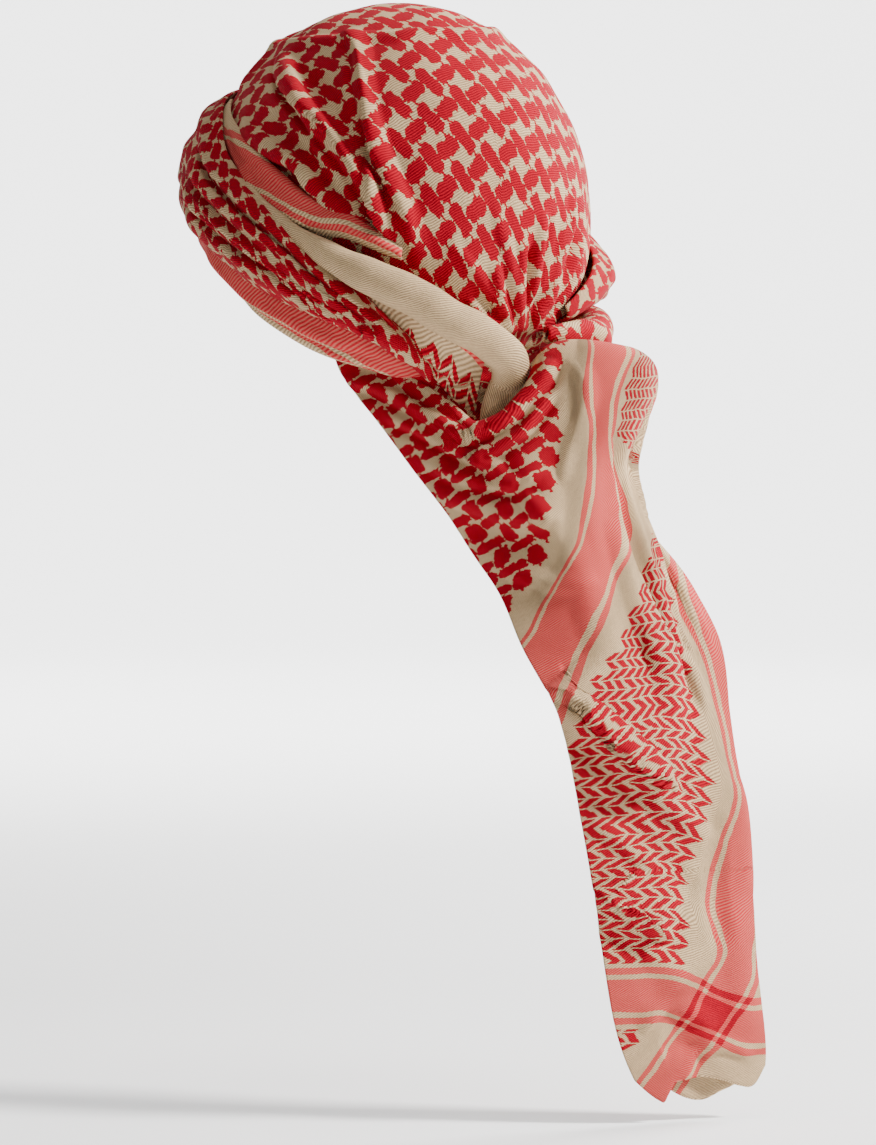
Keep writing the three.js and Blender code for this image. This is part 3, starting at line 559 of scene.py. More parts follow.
def tail_folds(across, drop):
    """Height of the tail's wide folds, as on the solid."""
    rise = np.zeros(np.broadcast(across, drop).shape)
    here = tail_surface(across, drop)
    for row in each(TAIL_FOLDS):
        start = tail_surface(row["acrossA"], row["dropA"])
        end = tail_surface(row["acrossB"], row["dropB"])
        length = float(np.linalg.norm(end - start))
        if abs(row["dropB"] - row["dropA"]) > length * STEEP_SHARE:
            t = (drop - row["dropA"]) / (row["dropB"] - row["dropA"])
        else:
            t = (across - row["acrossA"]) / (row["acrossB"] - row["acrossA"])
        inside = np.clip(t, 0.0, 1.0)
        line = tail_surface(
            mix(row["acrossA"], row["acrossB"], inside), mix(row["dropA"], row["dropB"], inside)
        )
        fade = window(
            t * length, -TAIL_FOLD_FADE, TAIL_FOLD_FADE, length - TAIL_FOLD_FADE, length + TAIL_FOLD_FADE
        )
        rise += row["height"] * bump(np.linalg.norm(line - here, axis=-1), row["half"]) * fade
    return rise


def folded_tail(across, drop, inset):
    rise = TAIL_FOLD_SHARE * tail_folds(across, drop) - inset
    return tail_surface(across, drop) + tail_normal(across, drop) * rise[..., None]


def tail_at(u, v):
    """The front layer: the rolled lip at the top, then the hanging length."""
    across = mix(-1.0, 1.0, v)
    ends = read(TAIL_ENDS, "across", across)
    below = ends["lip"] + ends["lipRadius"] * np.sin(np.radians(np.minimum(90.0, ends["lipAngle"])))
    angle = np.radians(ends["lipAngle"]) * np.maximum(0.0, 1.0 - u / LIP_ROWS_SHARE)
    inset = ends["lipRadius"] * (1.0 - np.cos(angle))
    rolled = below - ends["lipRadius"] * np.sin(angle)
    hanging_drop = mix(below, ends["hem"], (u - LIP_ROWS_SHARE) / (1.0 - LIP_ROWS_SHARE))
    drop = np.where(u >= LIP_ROWS_SHARE, hanging_drop, rolled)
    inset = np.where(u >= LIP_ROWS_SHARE, 0.0, inset)
    return folded_tail(across, drop, inset), across, drop


def back_at(u, v):
    """The second layer, a little behind the front one and closer at the right edge."""
    across = mix(BACK_ENDS["across"][0], BACK_ENDS["across"][-1], v)
    ends = read(BACK_ENDS, "across", across)
    closing = smooth(across, BACK_CLOSING_FROM, BACK_ENDS["across"][-1])
    drop = mix(ends["lip"], ends["hem"], u)
    return folded_tail(across, drop, mix(BACK_GAP, BACK_GAP_AT_FOLD, closing)), across, drop


def grid(rows, columns_count):
    """Even shares along the rows and across the columns."""
    u, v = np.meshgrid(np.linspace(0, 1, rows + 1), np.linspace(0, 1, columns_count + 1), indexing="ij")
    return u, v


def curve_through(points, count):
    """A smooth line through given points."""
    line = along(columns("a b", *points), np.linspace(0, 1, count))
    return line["a"], line["b"]


# Steps along the line of a crease, and the share of it that fades at each end.
LINE_POINTS = 26
END_FADE_SHARE = 0.22
# Beside the steep side of a short, sharp fold the cloth dips into a narrow groove.
GROOVE_BELOW = 3.0
LONG_FOLD = 25.0
GROOVE_SHARE = 0.5
GROOVE_PLACE = 2.0
GROOVE_WIDTH = 1.3


def creased(points, normals, creases, place):
    """Raises or sinks a surface along its creases: gentle on one side, steep on the other."""
    flat = points.reshape(-1, 3)
    flat_normals = normals.reshape(-1, 3)
    rise = np.zeros(len(flat))
    for height, gentle, steep, *spots in creases:
        line = place(*curve_through(spots, LINE_POINTS))
        reach = max(gentle, steep)
        near = np.all((flat > line.min(axis=0) - reach) & (flat < line.max(axis=0) + reach), axis=1)
        chosen = np.nonzero(near)[0]
        if not len(chosen):
            continue
        here = flat[chosen]
        best = np.full(len(chosen), np.inf)
        side = np.ones(len(chosen))
        share = np.zeros(len(chosen))
        for k in range(len(line) - 1):
            a = line[k]
            step = line[k + 1] - a
            t = np.clip((here - a) @ step / max(step @ step, TINY), 0.0, 1.0)
            offset = here - a - t[:, None] * step
            distance = np.linalg.norm(offset, axis=1)
            closer = distance < best
            turn_way = np.sum(np.cross(step, offset) * flat_normals[chosen], axis=1)
            best = np.where(closer, distance, best)
            side = np.where(closer, np.sign(turn_way), side)
            share = np.where(closer, (k + t) / (len(line) - 1), share)
        sharp_side = bump(best, steep)
        if height > 0 and steep < GROOVE_BELOW and gentle < LONG_FOLD:
            groove = bump(best - GROOVE_PLACE * steep, GROOVE_WIDTH * steep)
            sharp_side = sharp_side - GROOVE_SHARE * groove
        profile = np.where(side >= 0, bump(best, gentle), sharp_side)
        fade = window(share, 0.0, END_FADE_SHARE, 1.0 - END_FADE_SHARE, 1.0)
        rise[chosen] += height * profile * np.sqrt(fade)
    return rise.reshape(points.shape[:-1])


# The rumple is a sum of long low waves in uneven directions.
LONG_RUMPLE = 30.0
ROLL_RUMPLE = 26.0
RUMPLE_WAVES = 14
RUMPLE_SHORT_LONG = (0.6, 1.7)
RUMPLE_WEAK_STRONG = (0.4, 1.0)


def rumple(points, size, length, seed):
    """Low, uneven undulation of soft cloth, the same each run."""
    random = np.random.default_rng(seed)
    rise = np.zeros(points.shape[:-1])
    for _ in range(RUMPLE_WAVES):
        direction = unit(random.normal(size=3))
        wave = length * random.uniform(*RUMPLE_SHORT_LONG)
        phase = random.uniform(0, 2 * math.pi)
        strength = random.uniform(*RUMPLE_WEAK_STRONG)
        rise += np.sin(points @ direction * (2 * math.pi / wave) + phase) * strength
    return rise * size / 3.0


def surface_normals(points, hint, ring):
    """Normals of a grid of points, on the side that the hint points to."""
    if ring:
        padded = np.concatenate([points[:, -3:-1], points[:, :-1], points[:, :3]], axis=1)
        du = np.gradient(padded, axis=0)[:, 2:-2]
        dv = np.gradient(padded, axis=1)[:, 2:-2]
    else:
        du = np.gradient(points, axis=0)
        dv = np.gradient(points, axis=1)
    normals = unit(np.cross(du, dv))
    return normals if np.sum(normals * hint) > 0 else -normals


def arc_across(points):
    steps = np.linalg.norm(np.diff(points, axis=1), axis=-1)
    return np.concatenate([np.zeros((len(points), 1)), np.cumsum(steps, axis=1)], axis=1)


def arc_along(points):
    steps = np.linalg.norm(np.diff(points, axis=0), axis=-1)
    return np.concatenate([np.zeros((1, points.shape[1])), np.cumsum(steps, axis=0)], axis=0)


# How far the middle of a cut edge stands out, as a share of the wall.
RIM_SHARE = 0.42


def cloth_shell(name, points, hint, weave, wall, ring=False, cap=False):
    """A closed thin wall of cloth round a grid of points, with a soft edge and its own weave map."""
    normals = surface_normals(points, hint, ring)
    if cap:
        normals[0] = (0.0, 0.0, 1.0)
    rows, cols = points.shape[0], points.shape[1]
    skins = [points + normals * (wall / 2), points - normals * (wall / 2)]
    vertices = np.concatenate([skin.reshape(-1, 3) for skin in skins])
    number = np.arange(rows * cols).reshape(rows, cols)
    if ring:
        number[:, -1] = number[:, 0]
    if cap:
        number[0, :] = number[0, 0]
    plain = np.arange(rows * cols).reshape(rows, cols)
    layer = rows * cols
    faces = []
    maps = []

    def strip(a, b, c, d, ma, mb, mc, md):
        faces.append(np.stack([a.ravel(), b.ravel(), c.ravel(), d.ravel()], axis=1))
        maps.append(np.stack([ma.ravel(), mb.ravel(), mc.ravel(), md.ravel()], axis=1))

    corner = (slice(0, -1), slice(0, -1)), (slice(1, None), slice(0, -1))
    corner += (slice(1, None), slice(1, None)), (slice(0, -1), slice(1, None))
    outer = [number[c] for c in corner]
    outer_map = [plain[c] for c in corner]
    strip(*outer, *outer_map)
    strip(*[n + layer for n in reversed(outer)], *reversed(outer_map))

    extra = []
    weave_flat = weave.reshape(-1, 2)

    def rim(edge, inner, turned):
        """Joins the two skins along one edge through a rounded middle line."""
        line = points.reshape(-1, 3)[edge]
        away = unit(line - points.reshape(-1, 3)[inner])
        start = 2 * layer + sum(len(e) for e in extra)
        middle = np.arange(start, start + len(edge))
        extra.append(line + away * wall * RIM_SHARE)
        top = number.ravel()[edge]
        if ring and len(edge) == cols:
            middle[-1] = middle[0]
        for first, second in ((top, middle), (middle, top + layer)):
            a, b, c, d = first[:-1], second[:-1], second[1:], first[1:]
            quad = [a, b, c, d] if turned else [d, c, b, a]
            m = [edge[:-1], edge[:-1], edge[1:], edge[1:]]
            strip(*quad, *(m if turned else reversed(m)))

    if not cap:
        rim(plain[0], plain[1], False)
    rim(plain[-1], plain[-2], True)
    if not ring:
        rim(plain[:, 0], plain[:, 1], True)
        rim(plain[:, -1], plain[:, -2], False)
    vertices = np.concatenate([vertices, *extra])
    faces = np.concatenate(faces)
    maps = np.concatenate(maps)

    mesh = bpy.data.meshes.new(name)
    polygons = []
    uvs = []
    for face, spots in zip(faces.tolist(), maps.tolist()):
        kept = [k for k in range(4) if face[k] != face[(k + 1) % 4]]
        if len(kept) < 3:
            continue
        polygons.append([face[k] for k in kept])
        uvs.extend(spots[k] for k in kept)
    mesh.from_pydata((vertices * MM).tolist(), [], polygons)
    layer_map = mesh.uv_layers.new(name="weave")
    layer_map.data.foreach_set("uv", (weave_flat[np.array(uvs)] * MM).astype(np.float32).ravel())
    return finished(name, mesh)


def finished(name, mesh):
    """Links a mesh as a piece, drops loose points and turns its faces outwards."""
    piece = bpy.data.objects.new(name, mesh)
    bpy.context.scene.collection.objects.link(piece)
    bpy.ops.object.select_all(action="DESELECT")
    piece.select_set(True)
    bpy.context.view_layer.objects.active = piece
    bpy.ops.object.mode_set(mode="EDIT")
    bpy.ops.mesh.select_all(action="SELECT")
    bpy.ops.mesh.delete_loose()
    bpy.ops.object.mode_set(mode="OBJECT")
    volume = signed_volume(mesh)
    if volume < 0:
        mesh.flip_normals()
    bpy.ops.object.shade_smooth()
    return piece


def signed_volume(mesh):
    """Volume inside a closed mesh, negative if its faces point inwards."""
    mesh.calc_loop_triangles()
    count = len(mesh.loop_triangles)
    corners = np.empty(count * 3, dtype=np.int32)
    mesh.loop_triangles.foreach_get("vertices", corners)
    places = np.empty(len(mesh.vertices) * 3, dtype=np.float32)
    mesh.vertices.foreach_get("co", places)
    a, b, c = (places.reshape(-1, 3)[corners.reshape(-1, 3)[:, k]].astype(float) for k in range(3))
    return float(np.sum(a * np.cross(b, c)) / 6.0)


# Finishes: one small function adds a node, and the weave is drawn from millimetres.
def linear(colour):
    """Turns an sRGB hex colour into the linear values that the nodes take."""
    values = [int(colour[k : k + 2], 16) / 255.0 for k in (1, 3, 5)]
    return tuple(v / 12.92 if v <= 0.04045 else ((v + 0.055) / 1.055) ** 2.4 for v in values) + (1.0,)


def add_node(tree, kind, *inputs, out=0, named=None, **settings):
    """Adds one node, sets it, joins or fills its inputs, and gives back one output."""
    node = tree.nodes.new(kind)
    for key, value in settings.items():
        setattr(node, key, value)
    for place, value in (*enumerate(inputs), *(named or {}).items()):
        socket = node.inputs[place]
        if isinstance(value, bpy.types.NodeSocket):
            tree.links.new(value, socket)
        elif value is not None:
            socket.default_value = value
    return node.outputs[out]


MATH = "ShaderNodeMath"
VECTOR_MATH = "ShaderNodeVectorMath"
NOISE = "ShaderNodeTexNoise"
MIX = "ShaderNodeMix"
# A mix of colours takes its share first and its two colours last.
SKIP = (None,) * 5
OF_COLOURS = {"out": 2, "data_type": "RGBA"}
# Woven pitch of the field: columns of slanted blocks, each block repeated down its column.
COLUMN_PITCH = 7.9
BLOCK_PITCH = 18.2
BLOCK_ROUND = 4.4
LINK_HALF = 0.6
LINK_REACH = 9.4
# The two kinds of block: which column, slant in degrees, length and width.
BLOCK_KINDS = ((0, 30.0, 13.0, 8.2), (1, -56.0, 14.2, 6.5))
# Real threads and ribs are about half as wide; these are as coarse as they need to show.
THREAD = 0.55
TWILL_PITCH = 1.3
STRETCHED_TWILL_PITCH = 2.1
# The zigzag: half a swing along the border, its slant, and the bars from row to row.
CHEVRON_HALF = 4.7
CHEVRON_SLANT = 1.15
CHEVRON_PITCH = 5.4
CHEVRON_BAR = 3.5
CHEVRON_BREAK = 0.5
UPPER_PYRAMID_END = -200.0
UPPER_PYRAMID_STEP = 2.7
FAR_ZIGZAG_FROM = 41.0
ZIGZAG_STOPS_AT = 11.0
ZIGZAG_MARGINS = (-9.0, 0.5)
PYRAMID_START = -220.0
PYRAMID_STEP = 10.0
PYRAMID_ROWS = 10.0
# Soft unevenness of the weave: how often in a metre, and how far it moves a place.
WOBBLE = (90.0, 0.0018)
JITTER = (360.0, 0.0024)
FUZZ_FREQUENCY = (1400.0, 500.0, 0.0)
CLOUD_FREQUENCY = (34.0, 34.0, 0.0)
# Shares of the ribs and the fuzz in the tone of the yarn, which runs from painted shade between the ribs to
# lit colour on them, and in its relief.
RIB_TONE = 0.72
FUZZ_TONE = 0.36
RIB_HEIGHT = 0.5
FUZZ_HEIGHT = 0.5
FIGURE_HEIGHT = 1.1
RED_IN_MIXED = (0.86, 0.12)
CLOUD_TONE = (0.24, 0.88)
ROUGHNESS = (0.14, 0.80)
RELIEF = {"Strength": 0.9, "Distance": 0.0005}
FIBRE = {"Specular IOR Level": 0.08, "Sheen Roughness": 0.45, "Sheen Tint": (1.0, 0.93, 0.88, 1.0)}


def sharp(tree, value, low, high):
    """A clean-edged mask: 1 where a value is between two limits."""
    above = add_node(tree, MATH, value, low, operation="GREATER_THAN")
    below = add_node(tree, MATH, value, high, operation="LESS_THAN")
    return add_node(tree, MATH, above, below, operation="MULTIPLY")


def stripes(tree, outward):
    """Coloured stripes of the woven border, from the distance outward from the field."""
    total = 0.0
    for starts, width in (((THIN_A, THIN_B, THIN_C, THIN_D), THIN_WIDTH), ((WIDE_A, WIDE_C), WIDE_WIDTH)):
        for start in starts:
            mask = sharp(tree, outward, start, start + width)
            total = add_node(tree, MATH, mask, total, operation="ADD")
    return total


def blocks(tree, lengthways, sideways):
    """The checked field: slanted red blocks in two ways, each with a thin tail to its neighbours.

    Gives back the red mask, with only whole blocks left at the field's edge."""
    add = partial(add_node, tree)
    total = 0.0
    for number, slant, length, width in BLOCK_KINDS:
        places = []
        for value, pitch in ((lengthways, 2 * COLUMN_PITCH), (sideways, BLOCK_PITCH)):
            place = add(MATH, value, number * pitch / 2, operation="ADD")
            place = add(MATH, place, pitch, operation="FLOORED_MODULO")
            places.append(add(MATH, place, pitch / 2, operation="SUBTRACT"))
        x, y = places
        cos, sin = math.cos(math.radians(slant)), math.sin(math.radians(slant))
        ways = []
        for first, second, turned in ((x, y, sin), (y, x, -sin)):
            other = add(MATH, second, turned, operation="MULTIPLY")
            ways.append(add(MATH, first, cos, other, operation="MULTIPLY_ADD"))
        radius = 0.0
        for way, size in zip(ways, (length, width)):
            share = add(MATH, add(MATH, way, 2 / size, operation="MULTIPLY"), operation="ABSOLUTE")
            power = add(MATH, share, BLOCK_ROUND, operation="POWER")
            radius = add(MATH, power, radius, operation="ADD")
        body = add(MATH, radius, 1.0, operation="LESS_THAN")
        link = sharp(tree, ways[1], -LINK_HALF, LINK_HALF)
        link = add(MATH, link, sharp(tree, ways[0], -LINK_REACH, LINK_REACH), operation="MULTIPLY")
        one = add(MATH, body, link, operation="MAXIMUM")
        centre = add(MATH, sideways, y, operation="SUBTRACT")
        whole = add(MATH, centre, -width / 2, operation="LESS_THAN")
        one = add(MATH, one, whole, operation="MULTIPLY")
        total = add(MATH, one, total, operation="MAXIMUM")
    return total


def chevrons(tree, lengthways, outward):
    """The zigzag band: rows of slanted bars that grow row by row into stepped pyramids."""
    add = partial(add_node, tree)
    swing = add(MATH, lengthways, CHEVRON_HALF, operation="PINGPONG")
    place = add(MATH, swing, CHEVRON_SLANT, outward, operation="MULTIPLY_ADD")
    place = add(MATH, place, ZIGZAG_TO, operation="SUBTRACT")
    part = add(MATH, place, CHEVRON_PITCH, operation="FLOORED_MODULO")
    row = add(MATH, add(MATH, place, CHEVRON_PITCH, operation="DIVIDE"), operation="FLOOR")
    bar = add(MATH, part, CHEVRON_BAR, operation="LESS_THAN")
    rest = add(MATH, lengthways, CHEVRON_HALF, operation="FLOORED_MODULO")
    parted = add(MATH, rest, CHEVRON_BREAK, operation="GREATER_THAN")
    counts = []
    for end, step in ((PYRAMID_START, PYRAMID_STEP), (UPPER_PYRAMID_END, -UPPER_PYRAMID_STEP)):
        past = add(MATH, lengthways, end, operation="SUBTRACT")
        steps = add(MATH, past, step, operation="DIVIDE")
        counts.append(add(MATH, steps, operation="FLOOR"))
    count = add(MATH, add(MATH, *counts, operation="MAXIMUM"), PYRAMID_ROWS, operation="MINIMUM")
    inside = add(MATH, add(MATH, row, count, operation="ADD"), -0.5, operation="GREATER_THAN")
    mask = add(MATH, bar, parted, operation="MULTIPLY")
    mask = add(MATH, mask, inside, operation="MULTIPLY")
    return add(MATH, mask, add(MATH, row, -0.5, operation="LESS_THAN"), operation="MULTIPLY")


def nudged(tree, place, weave, frequency, reach):
    """Moves a place on the weave a little by noise, so that no edge runs quite straight."""
    add = partial(add_node, tree)
    spot = add(VECTOR_MATH, weave, (frequency, frequency, 0.0), operation="MULTIPLY")
    nudge = add(NOISE, spot, None, 1.0, 1.0, out=1, noise_dimensions="2D")
    nudge = add(VECTOR_MATH, nudge, (0.5, 0.5, 0.5), operation="SUBTRACT")
    nudge = add(VECTOR_MATH, nudge, (reach, reach, 0.0), operation="MULTIPLY")
    return add(VECTOR_MATH, place, nudge, operation="ADD")


def in_millimetres(tree, place):
    """Splits a place on the weave into millimetres outward and millimetres along."""
    split = add_node(tree, "ShaderNodeSeparateXYZ", place).node
    return [add_node(tree, MATH, split.outputs[k], 1 / MM, operation="MULTIPLY") for k in (0, 1)]


def by_thread(tree, ways):
    """Steps both distances from thread to thread, as a loom does."""
    return [add_node(tree, MATH, way, THREAD, operation="SNAP") for way in ways]


def pattern(tree, outward, lengthways, ragged):
    """The masks of the pattern: the raised red figure, the stripes, and where all is red."""
    add = partial(add_node, tree)
    rough_out, rough_len = by_thread(tree, in_millimetres(tree, ragged))
    even_out, even_len = by_thread(tree, (outward, lengthways))
    one_way, other_way = stripes(tree, outward), stripes(tree, lengthways)
    in_field = add(MATH, rough_len, 0.0, operation="LESS_THAN")
    checked = add(MATH, blocks(tree, rough_len, rough_out), in_field, operation="MULTIPLY")
    low, high = ZIGZAG_MARGINS
    beside = sharp(tree, even_out, ZIGZAG_FROM + low, ZIGZAG_TO + high)
    before = add(MATH, even_len, ZIGZAG_STOPS_AT, operation="LESS_THAN")
    beside = add(MATH, beside, before, operation="MULTIPLY")
    beyond = sharp(tree, even_out, ZIGZAG_FROM, ZIGZAG_TO)
    after = add(MATH, even_len, FAR_ZIGZAG_FROM, operation="GREATER_THAN")
    beyond = add(MATH, beyond, after, operation="MULTIPLY")
    allowed = add(MATH, beside, beyond, operation="MAXIMUM")
    zigzag = add(MATH, chevrons(tree, even_len, even_out), allowed, operation="MULTIPLY")
    figure = add(MATH, checked, zigzag, operation="MAXIMUM")
    both = add(MATH, one_way, other_way, operation="MULTIPLY")
    either = add(MATH, one_way, other_way, operation="MAXIMUM")
    return figure, either, add(MATH, figure, both, operation="MAXIMUM")


def woven_cotton(name, patterned, colours, sheen, twill_pitch):
    """Cotton twill: matt, slightly fuzzy, with fine slanting ribs, painted shade between them, and raised
    red yarn.
    """
    material = bpy.data.materials.new(name)
    material.use_nodes = True
    tree = material.node_tree
    tree.nodes.clear()
    add = partial(add_node, tree)
    weave = add("ShaderNodeUVMap", uv_map="weave")
    moved = nudged(tree, weave, weave, *WOBBLE)
    outward, lengthways = in_millimetres(tree, moved)
    uneven = []
    for frequency in (FUZZ_FREQUENCY, CLOUD_FREQUENCY):
        spot = add(VECTOR_MATH, weave, frequency, operation="MULTIPLY")
        uneven.append(add(NOISE, spot, None, 1.0, 2.0, noise_dimensions="2D"))
    fuzz, cloud = uneven

    # Twill ribs run at 45 degrees across the threads; between them the yarn colour is painted shade.
    ribs = add(MATH, outward, lengthways, operation="ADD")
    ribs = add(MATH, ribs, 2 * math.pi / twill_pitch, operation="MULTIPLY")
    ribs = add(MATH, add(MATH, ribs, operation="SINE"), 0.5, 0.5, operation="MULTIPLY_ADD")
    tone = add(MATH, fuzz, FUZZ_TONE, operation="MULTIPLY")
    tone = add(MATH, ribs, RIB_TONE, tone, operation="MULTIPLY_ADD")
    # Painted shade: each yarn runs from its darker copy between the ribs to its lit colour on them, with a
    # little random fuzz.
    colour = add(MIX, tone, *SKIP, colours["tan_painted_shade"], colours["tan"], **OF_COLOURS)
    yarn = add(MIX, tone, *SKIP, colours["red_painted_shade"], colours["red"], **OF_COLOURS)
    height = add(MATH, ribs, RIB_HEIGHT, operation="MULTIPLY")
    if patterned:
        ragged = nudged(tree, moved, weave, *JITTER)
        figure, either, full = pattern(tree, outward, lengthways, ragged)
        # One set of red threads over tan ones: the eye mixes the two into pink.
        share = add(MATH, ribs, *RED_IN_MIXED, operation="MULTIPLY_ADD")
        mixed = add(MIX, share, *SKIP, colours["pink"], colours["red"], **OF_COLOURS)
        colour = add(MIX, either, *SKIP, colour, mixed, **OF_COLOURS)
        colour = add(MIX, full, *SKIP, colour, yarn, **OF_COLOURS)
        height = add(MATH, figure, FIGURE_HEIGHT, height, operation="MULTIPLY_ADD")
    shade = add(MATH, cloud, *CLOUD_TONE, operation="MULTIPLY_ADD")
    shaded = add(VECTOR_MATH, colour, named={"Scale": shade}, operation="SCALE")
    height = add(MATH, fuzz, FUZZ_HEIGHT, height, operation="MULTIPLY_ADD")
    relief = add("ShaderNodeBump", named={"Height": height, **RELIEF})
    rough = add(MATH, fuzz, *ROUGHNESS, operation="MULTIPLY_ADD")
    look = {"Base Color": shaded, "Roughness": rough, "Normal": relief, "Sheen Weight": sheen, **FIBRE}
    surface = add("ShaderNodeBsdfPrincipled", named=look)
    end = tree.nodes.new("ShaderNodeOutputMaterial")
    tree.links.new(surface, end.inputs[0])
    return material


CARD_ROUGHNESS = 0.9
CARD_TONE = (0.03, 0.97)


def matt_card(name, colour):
    """Painted studio card: matt, with a faint unevenness."""
    material = bpy.data.materials.new(name)
    material.use_nodes = True
    tree = material.node_tree
    surface = tree.nodes["Principled BSDF"]
    place = add_node(tree, "ShaderNodeTexCoord", out=3)
    cloud = add_node(tree, NOISE, place, None, 3.0, 2.0)
    tone = add_node(tree, MATH, cloud, *CARD_TONE, operation="MULTIPLY_ADD")
    base = add_node(tree, VECTOR_MATH, colour[:3], named={"Scale": tone}, operation="SCALE")
    tree.links.new(base, surface.inputs["Base Color"])
    surface.inputs["Roughness"].default_value = CARD_ROUGHNESS
    return material


def finish_of(kind):
    """One material for each finish, made when it is first asked for."""
    names = {
        "checked": "checked_woven_cotton",
        "striped": "striped_woven_cotton",
        "plain": "plain_twill_cotton",
    }
    if names[kind] in bpy.data.materials:
        return bpy.data.materials[names[kind]]
    look = bpy.context.scene.scarf_look
    shades = ("red", "red_painted_shade", "tan", "tan_painted_shade", "pink")
    colours = {key: linear(hex_of(getattr(look, key))) for key in shades}
    # The striped folds lie on the bias, which draws their twill apart.
    twill_pitch = STRETCHED_TWILL_PITCH if kind == "striped" else TWILL_PITCH
    return woven_cotton(names[kind], kind != "plain", colours, look.sheen, twill_pitch)


def hex_of(value):
    """A gamma-corrected colour property as the hex text that the materials take."""
    return "#" + "".join(f"{round(255 * channel):02x}" for channel in value)


def dress(piece, node, finish, flat, held, *rests_on):
    """Gives a piece its finish, hangs it on the body and hides the solid that it stands for."""
    piece.data.materials.append(finish_of(finish))
    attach(piece, BODY)
    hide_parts(node)


# Weave maps: place on the scarf, outward from the field and along the border.
DEEP_IN_FIELD = -400.0
CROWN_ALONG = -300.0
CROWN_LEAST_SPREAD = 0.05
CROWN_MEAN_RADIUS = 92.0
CROWN_CLOTH_TILT = 45.0
CROWN_WEFT_FALL = 0.44
NAPE_GATHER = (180.0, 153.0)
GATHER_REACH = 60.0
GATHER_SQUEEZE = 0.9


def crown_weave(points):
    """Lays the field on the crown: columns run up the back, rows fall towards the right."""
    centre = np.array([0.0, 0.0, -FORM_RISE])
    size = np.array([FORM_HALF_BREADTH, FORM_HALF_LENGTH, FORM_RISE])
    way = unit((points - centre) / size)
    right = np.array([-math.sqrt(0.5), math.sqrt(0.5), 0.0])
    back = np.array([math.sqrt(0.5), math.sqrt(0.5), 0.0])
    tilt = math.radians(CROWN_CLOTH_TILT)
    middle = math.sin(tilt) * back + math.cos(tilt) * np.array([0.0, 0.0, 1.0])
    down = math.cos(tilt) * back - math.sin(tilt) * np.array([0.0, 0.0, 1.0])

    def spread(ways):
        """Lays the dome flat round its middle, true to length outwards from it."""
        angle = np.arccos(np.clip(ways @ middle, -1, 1))
        scale = CROWN_MEAN_RADIUS / np.maximum(np.sinc(angle / math.pi), CROWN_LEAST_SPREAD)
        return scale * (ways @ right), scale * (ways @ down) + CROWN_MEAN_RADIUS * tilt

    x, y = spread(way)
    knot_x, knot_y = spread(unit((on_form(*NAPE_GATHER) - centre) / size))
    near = np.maximum(0.0, 1.0 - np.hypot(x - knot_x, y - knot_y) / GATHER_REACH)
    x = knot_x + (x - knot_x) * (1.0 + GATHER_SQUEEZE * near**2)
    return np.stack([DEEP_IN_FIELD + y - CROWN_WEFT_FALL * x, CROWN_ALONG + x], axis=-1)


def band_weave(points, outward_from, outward_scale, along_from, slope=0.0, along_scale=1.0):
    """Lays the weave along a band: outward grows across it, lengthways runs along it."""
    across = arc_across(points)
    length = arc_along(points)[:, points.shape[1] // 2][:, None]
    length = np.broadcast_to(length, across.shape)
    outward = outward_from + across * outward_scale + slope * length
    return np.stack([outward, (along_from + length) * along_scale], axis=-1)


# How the folds of the tail take up its weave, and how the crossing border runs.
FIELD_TAKE_UP = 0.42
FIELD_TAKE_UP_FADE = (-14.0, -2.0)
FIELD_NARROWING = 0.2
FIELD_NARROWING_FADE = (0.0, 30.0)
FIELD_FOOT = 300.0
CROSS_SINK_PLACES = (120.0, 165.0)
ROW_SLOPE = 0.10
ROW_LEVEL_AT = 100.0
ROW_SLOPE_ABOVE = CROSS_DROP - 30.0


def tail_weave(across, drop):
    """Follows the borders' run on the tail, and measures along the cloth beyond its outline."""
    points = tail_surface(across, drop)
    place = (points[..., 1] - points[..., 0]) * math.sqrt(0.5)
    arc = arc_across(points)
    rows = read(BORDER_RUN, "drop", np.clip(drop, BORDER_RUN["drop"][0], BORDER_RUN["drop"][-1]))
    marks = np.stack([rows[name] for name in list(BORDER_RUN)[1:]], axis=-1)
    outline = place.max(axis=1, keepdims=True)
    # Past the outline the cloth turns away, so the length along it takes over smoothly.
    edge = np.argmax(place, axis=1)[:, None]
    beyond = np.maximum(0.0, arc - np.take_along_axis(arc, edge, axis=1))
    place = np.where(beyond > 0, outline + beyond, place)
    first, last = marks[..., 0], marks[..., -1]
    outward = np.where(place <= first, place - first, BORDER_LINES[-1] + place - last)
    for k in range(marks.shape[-1] - 1):
        low, high = marks[..., k], marks[..., k + 1]
        value = mix(BORDER_LINES[k], BORDER_LINES[k + 1], (place - low) / (high - low))
        outward = np.where((place > low) & (place <= high), value, outward)
    sink = CROSS_SINK * smooth(place, *CROSS_SINK_PLACES)
    lengthways = drop - CROSS_DROP - sink
    lengthways = lengthways + ROW_SLOPE * (place - ROW_LEVEL_AT) * (drop < ROW_SLOPE_ABOVE)
    # The folds take up length and breadth in the checked part, so its repeats look closer together.
    taken = FIELD_TAKE_UP * np.maximum(0.0, FIELD_FOOT - drop)
    lengthways = lengthways - taken * smooth(-outward, *FIELD_TAKE_UP_FADE)
    outward = outward * (1.0 + FIELD_NARROWING * smooth(-outward, *FIELD_NARROWING_FADE))
    return np.stack([outward, lengthways], axis=-1)


def laid(points, creases, place, hint, seed, rumpled, ring=False):
    """Adds the listed creases and a low rumple to a form."""
    normals = surface_normals(points, hint, ring)
    rise = creased(points, normals, creases, place) + rumple(points, rumpled, LONG_RUMPLE, seed)
    return points + normals * rise[..., None]


CROWN_STEPS = (150, 310)
CROWN_SEED = 11
CROWN_RUMPLE = 0.5


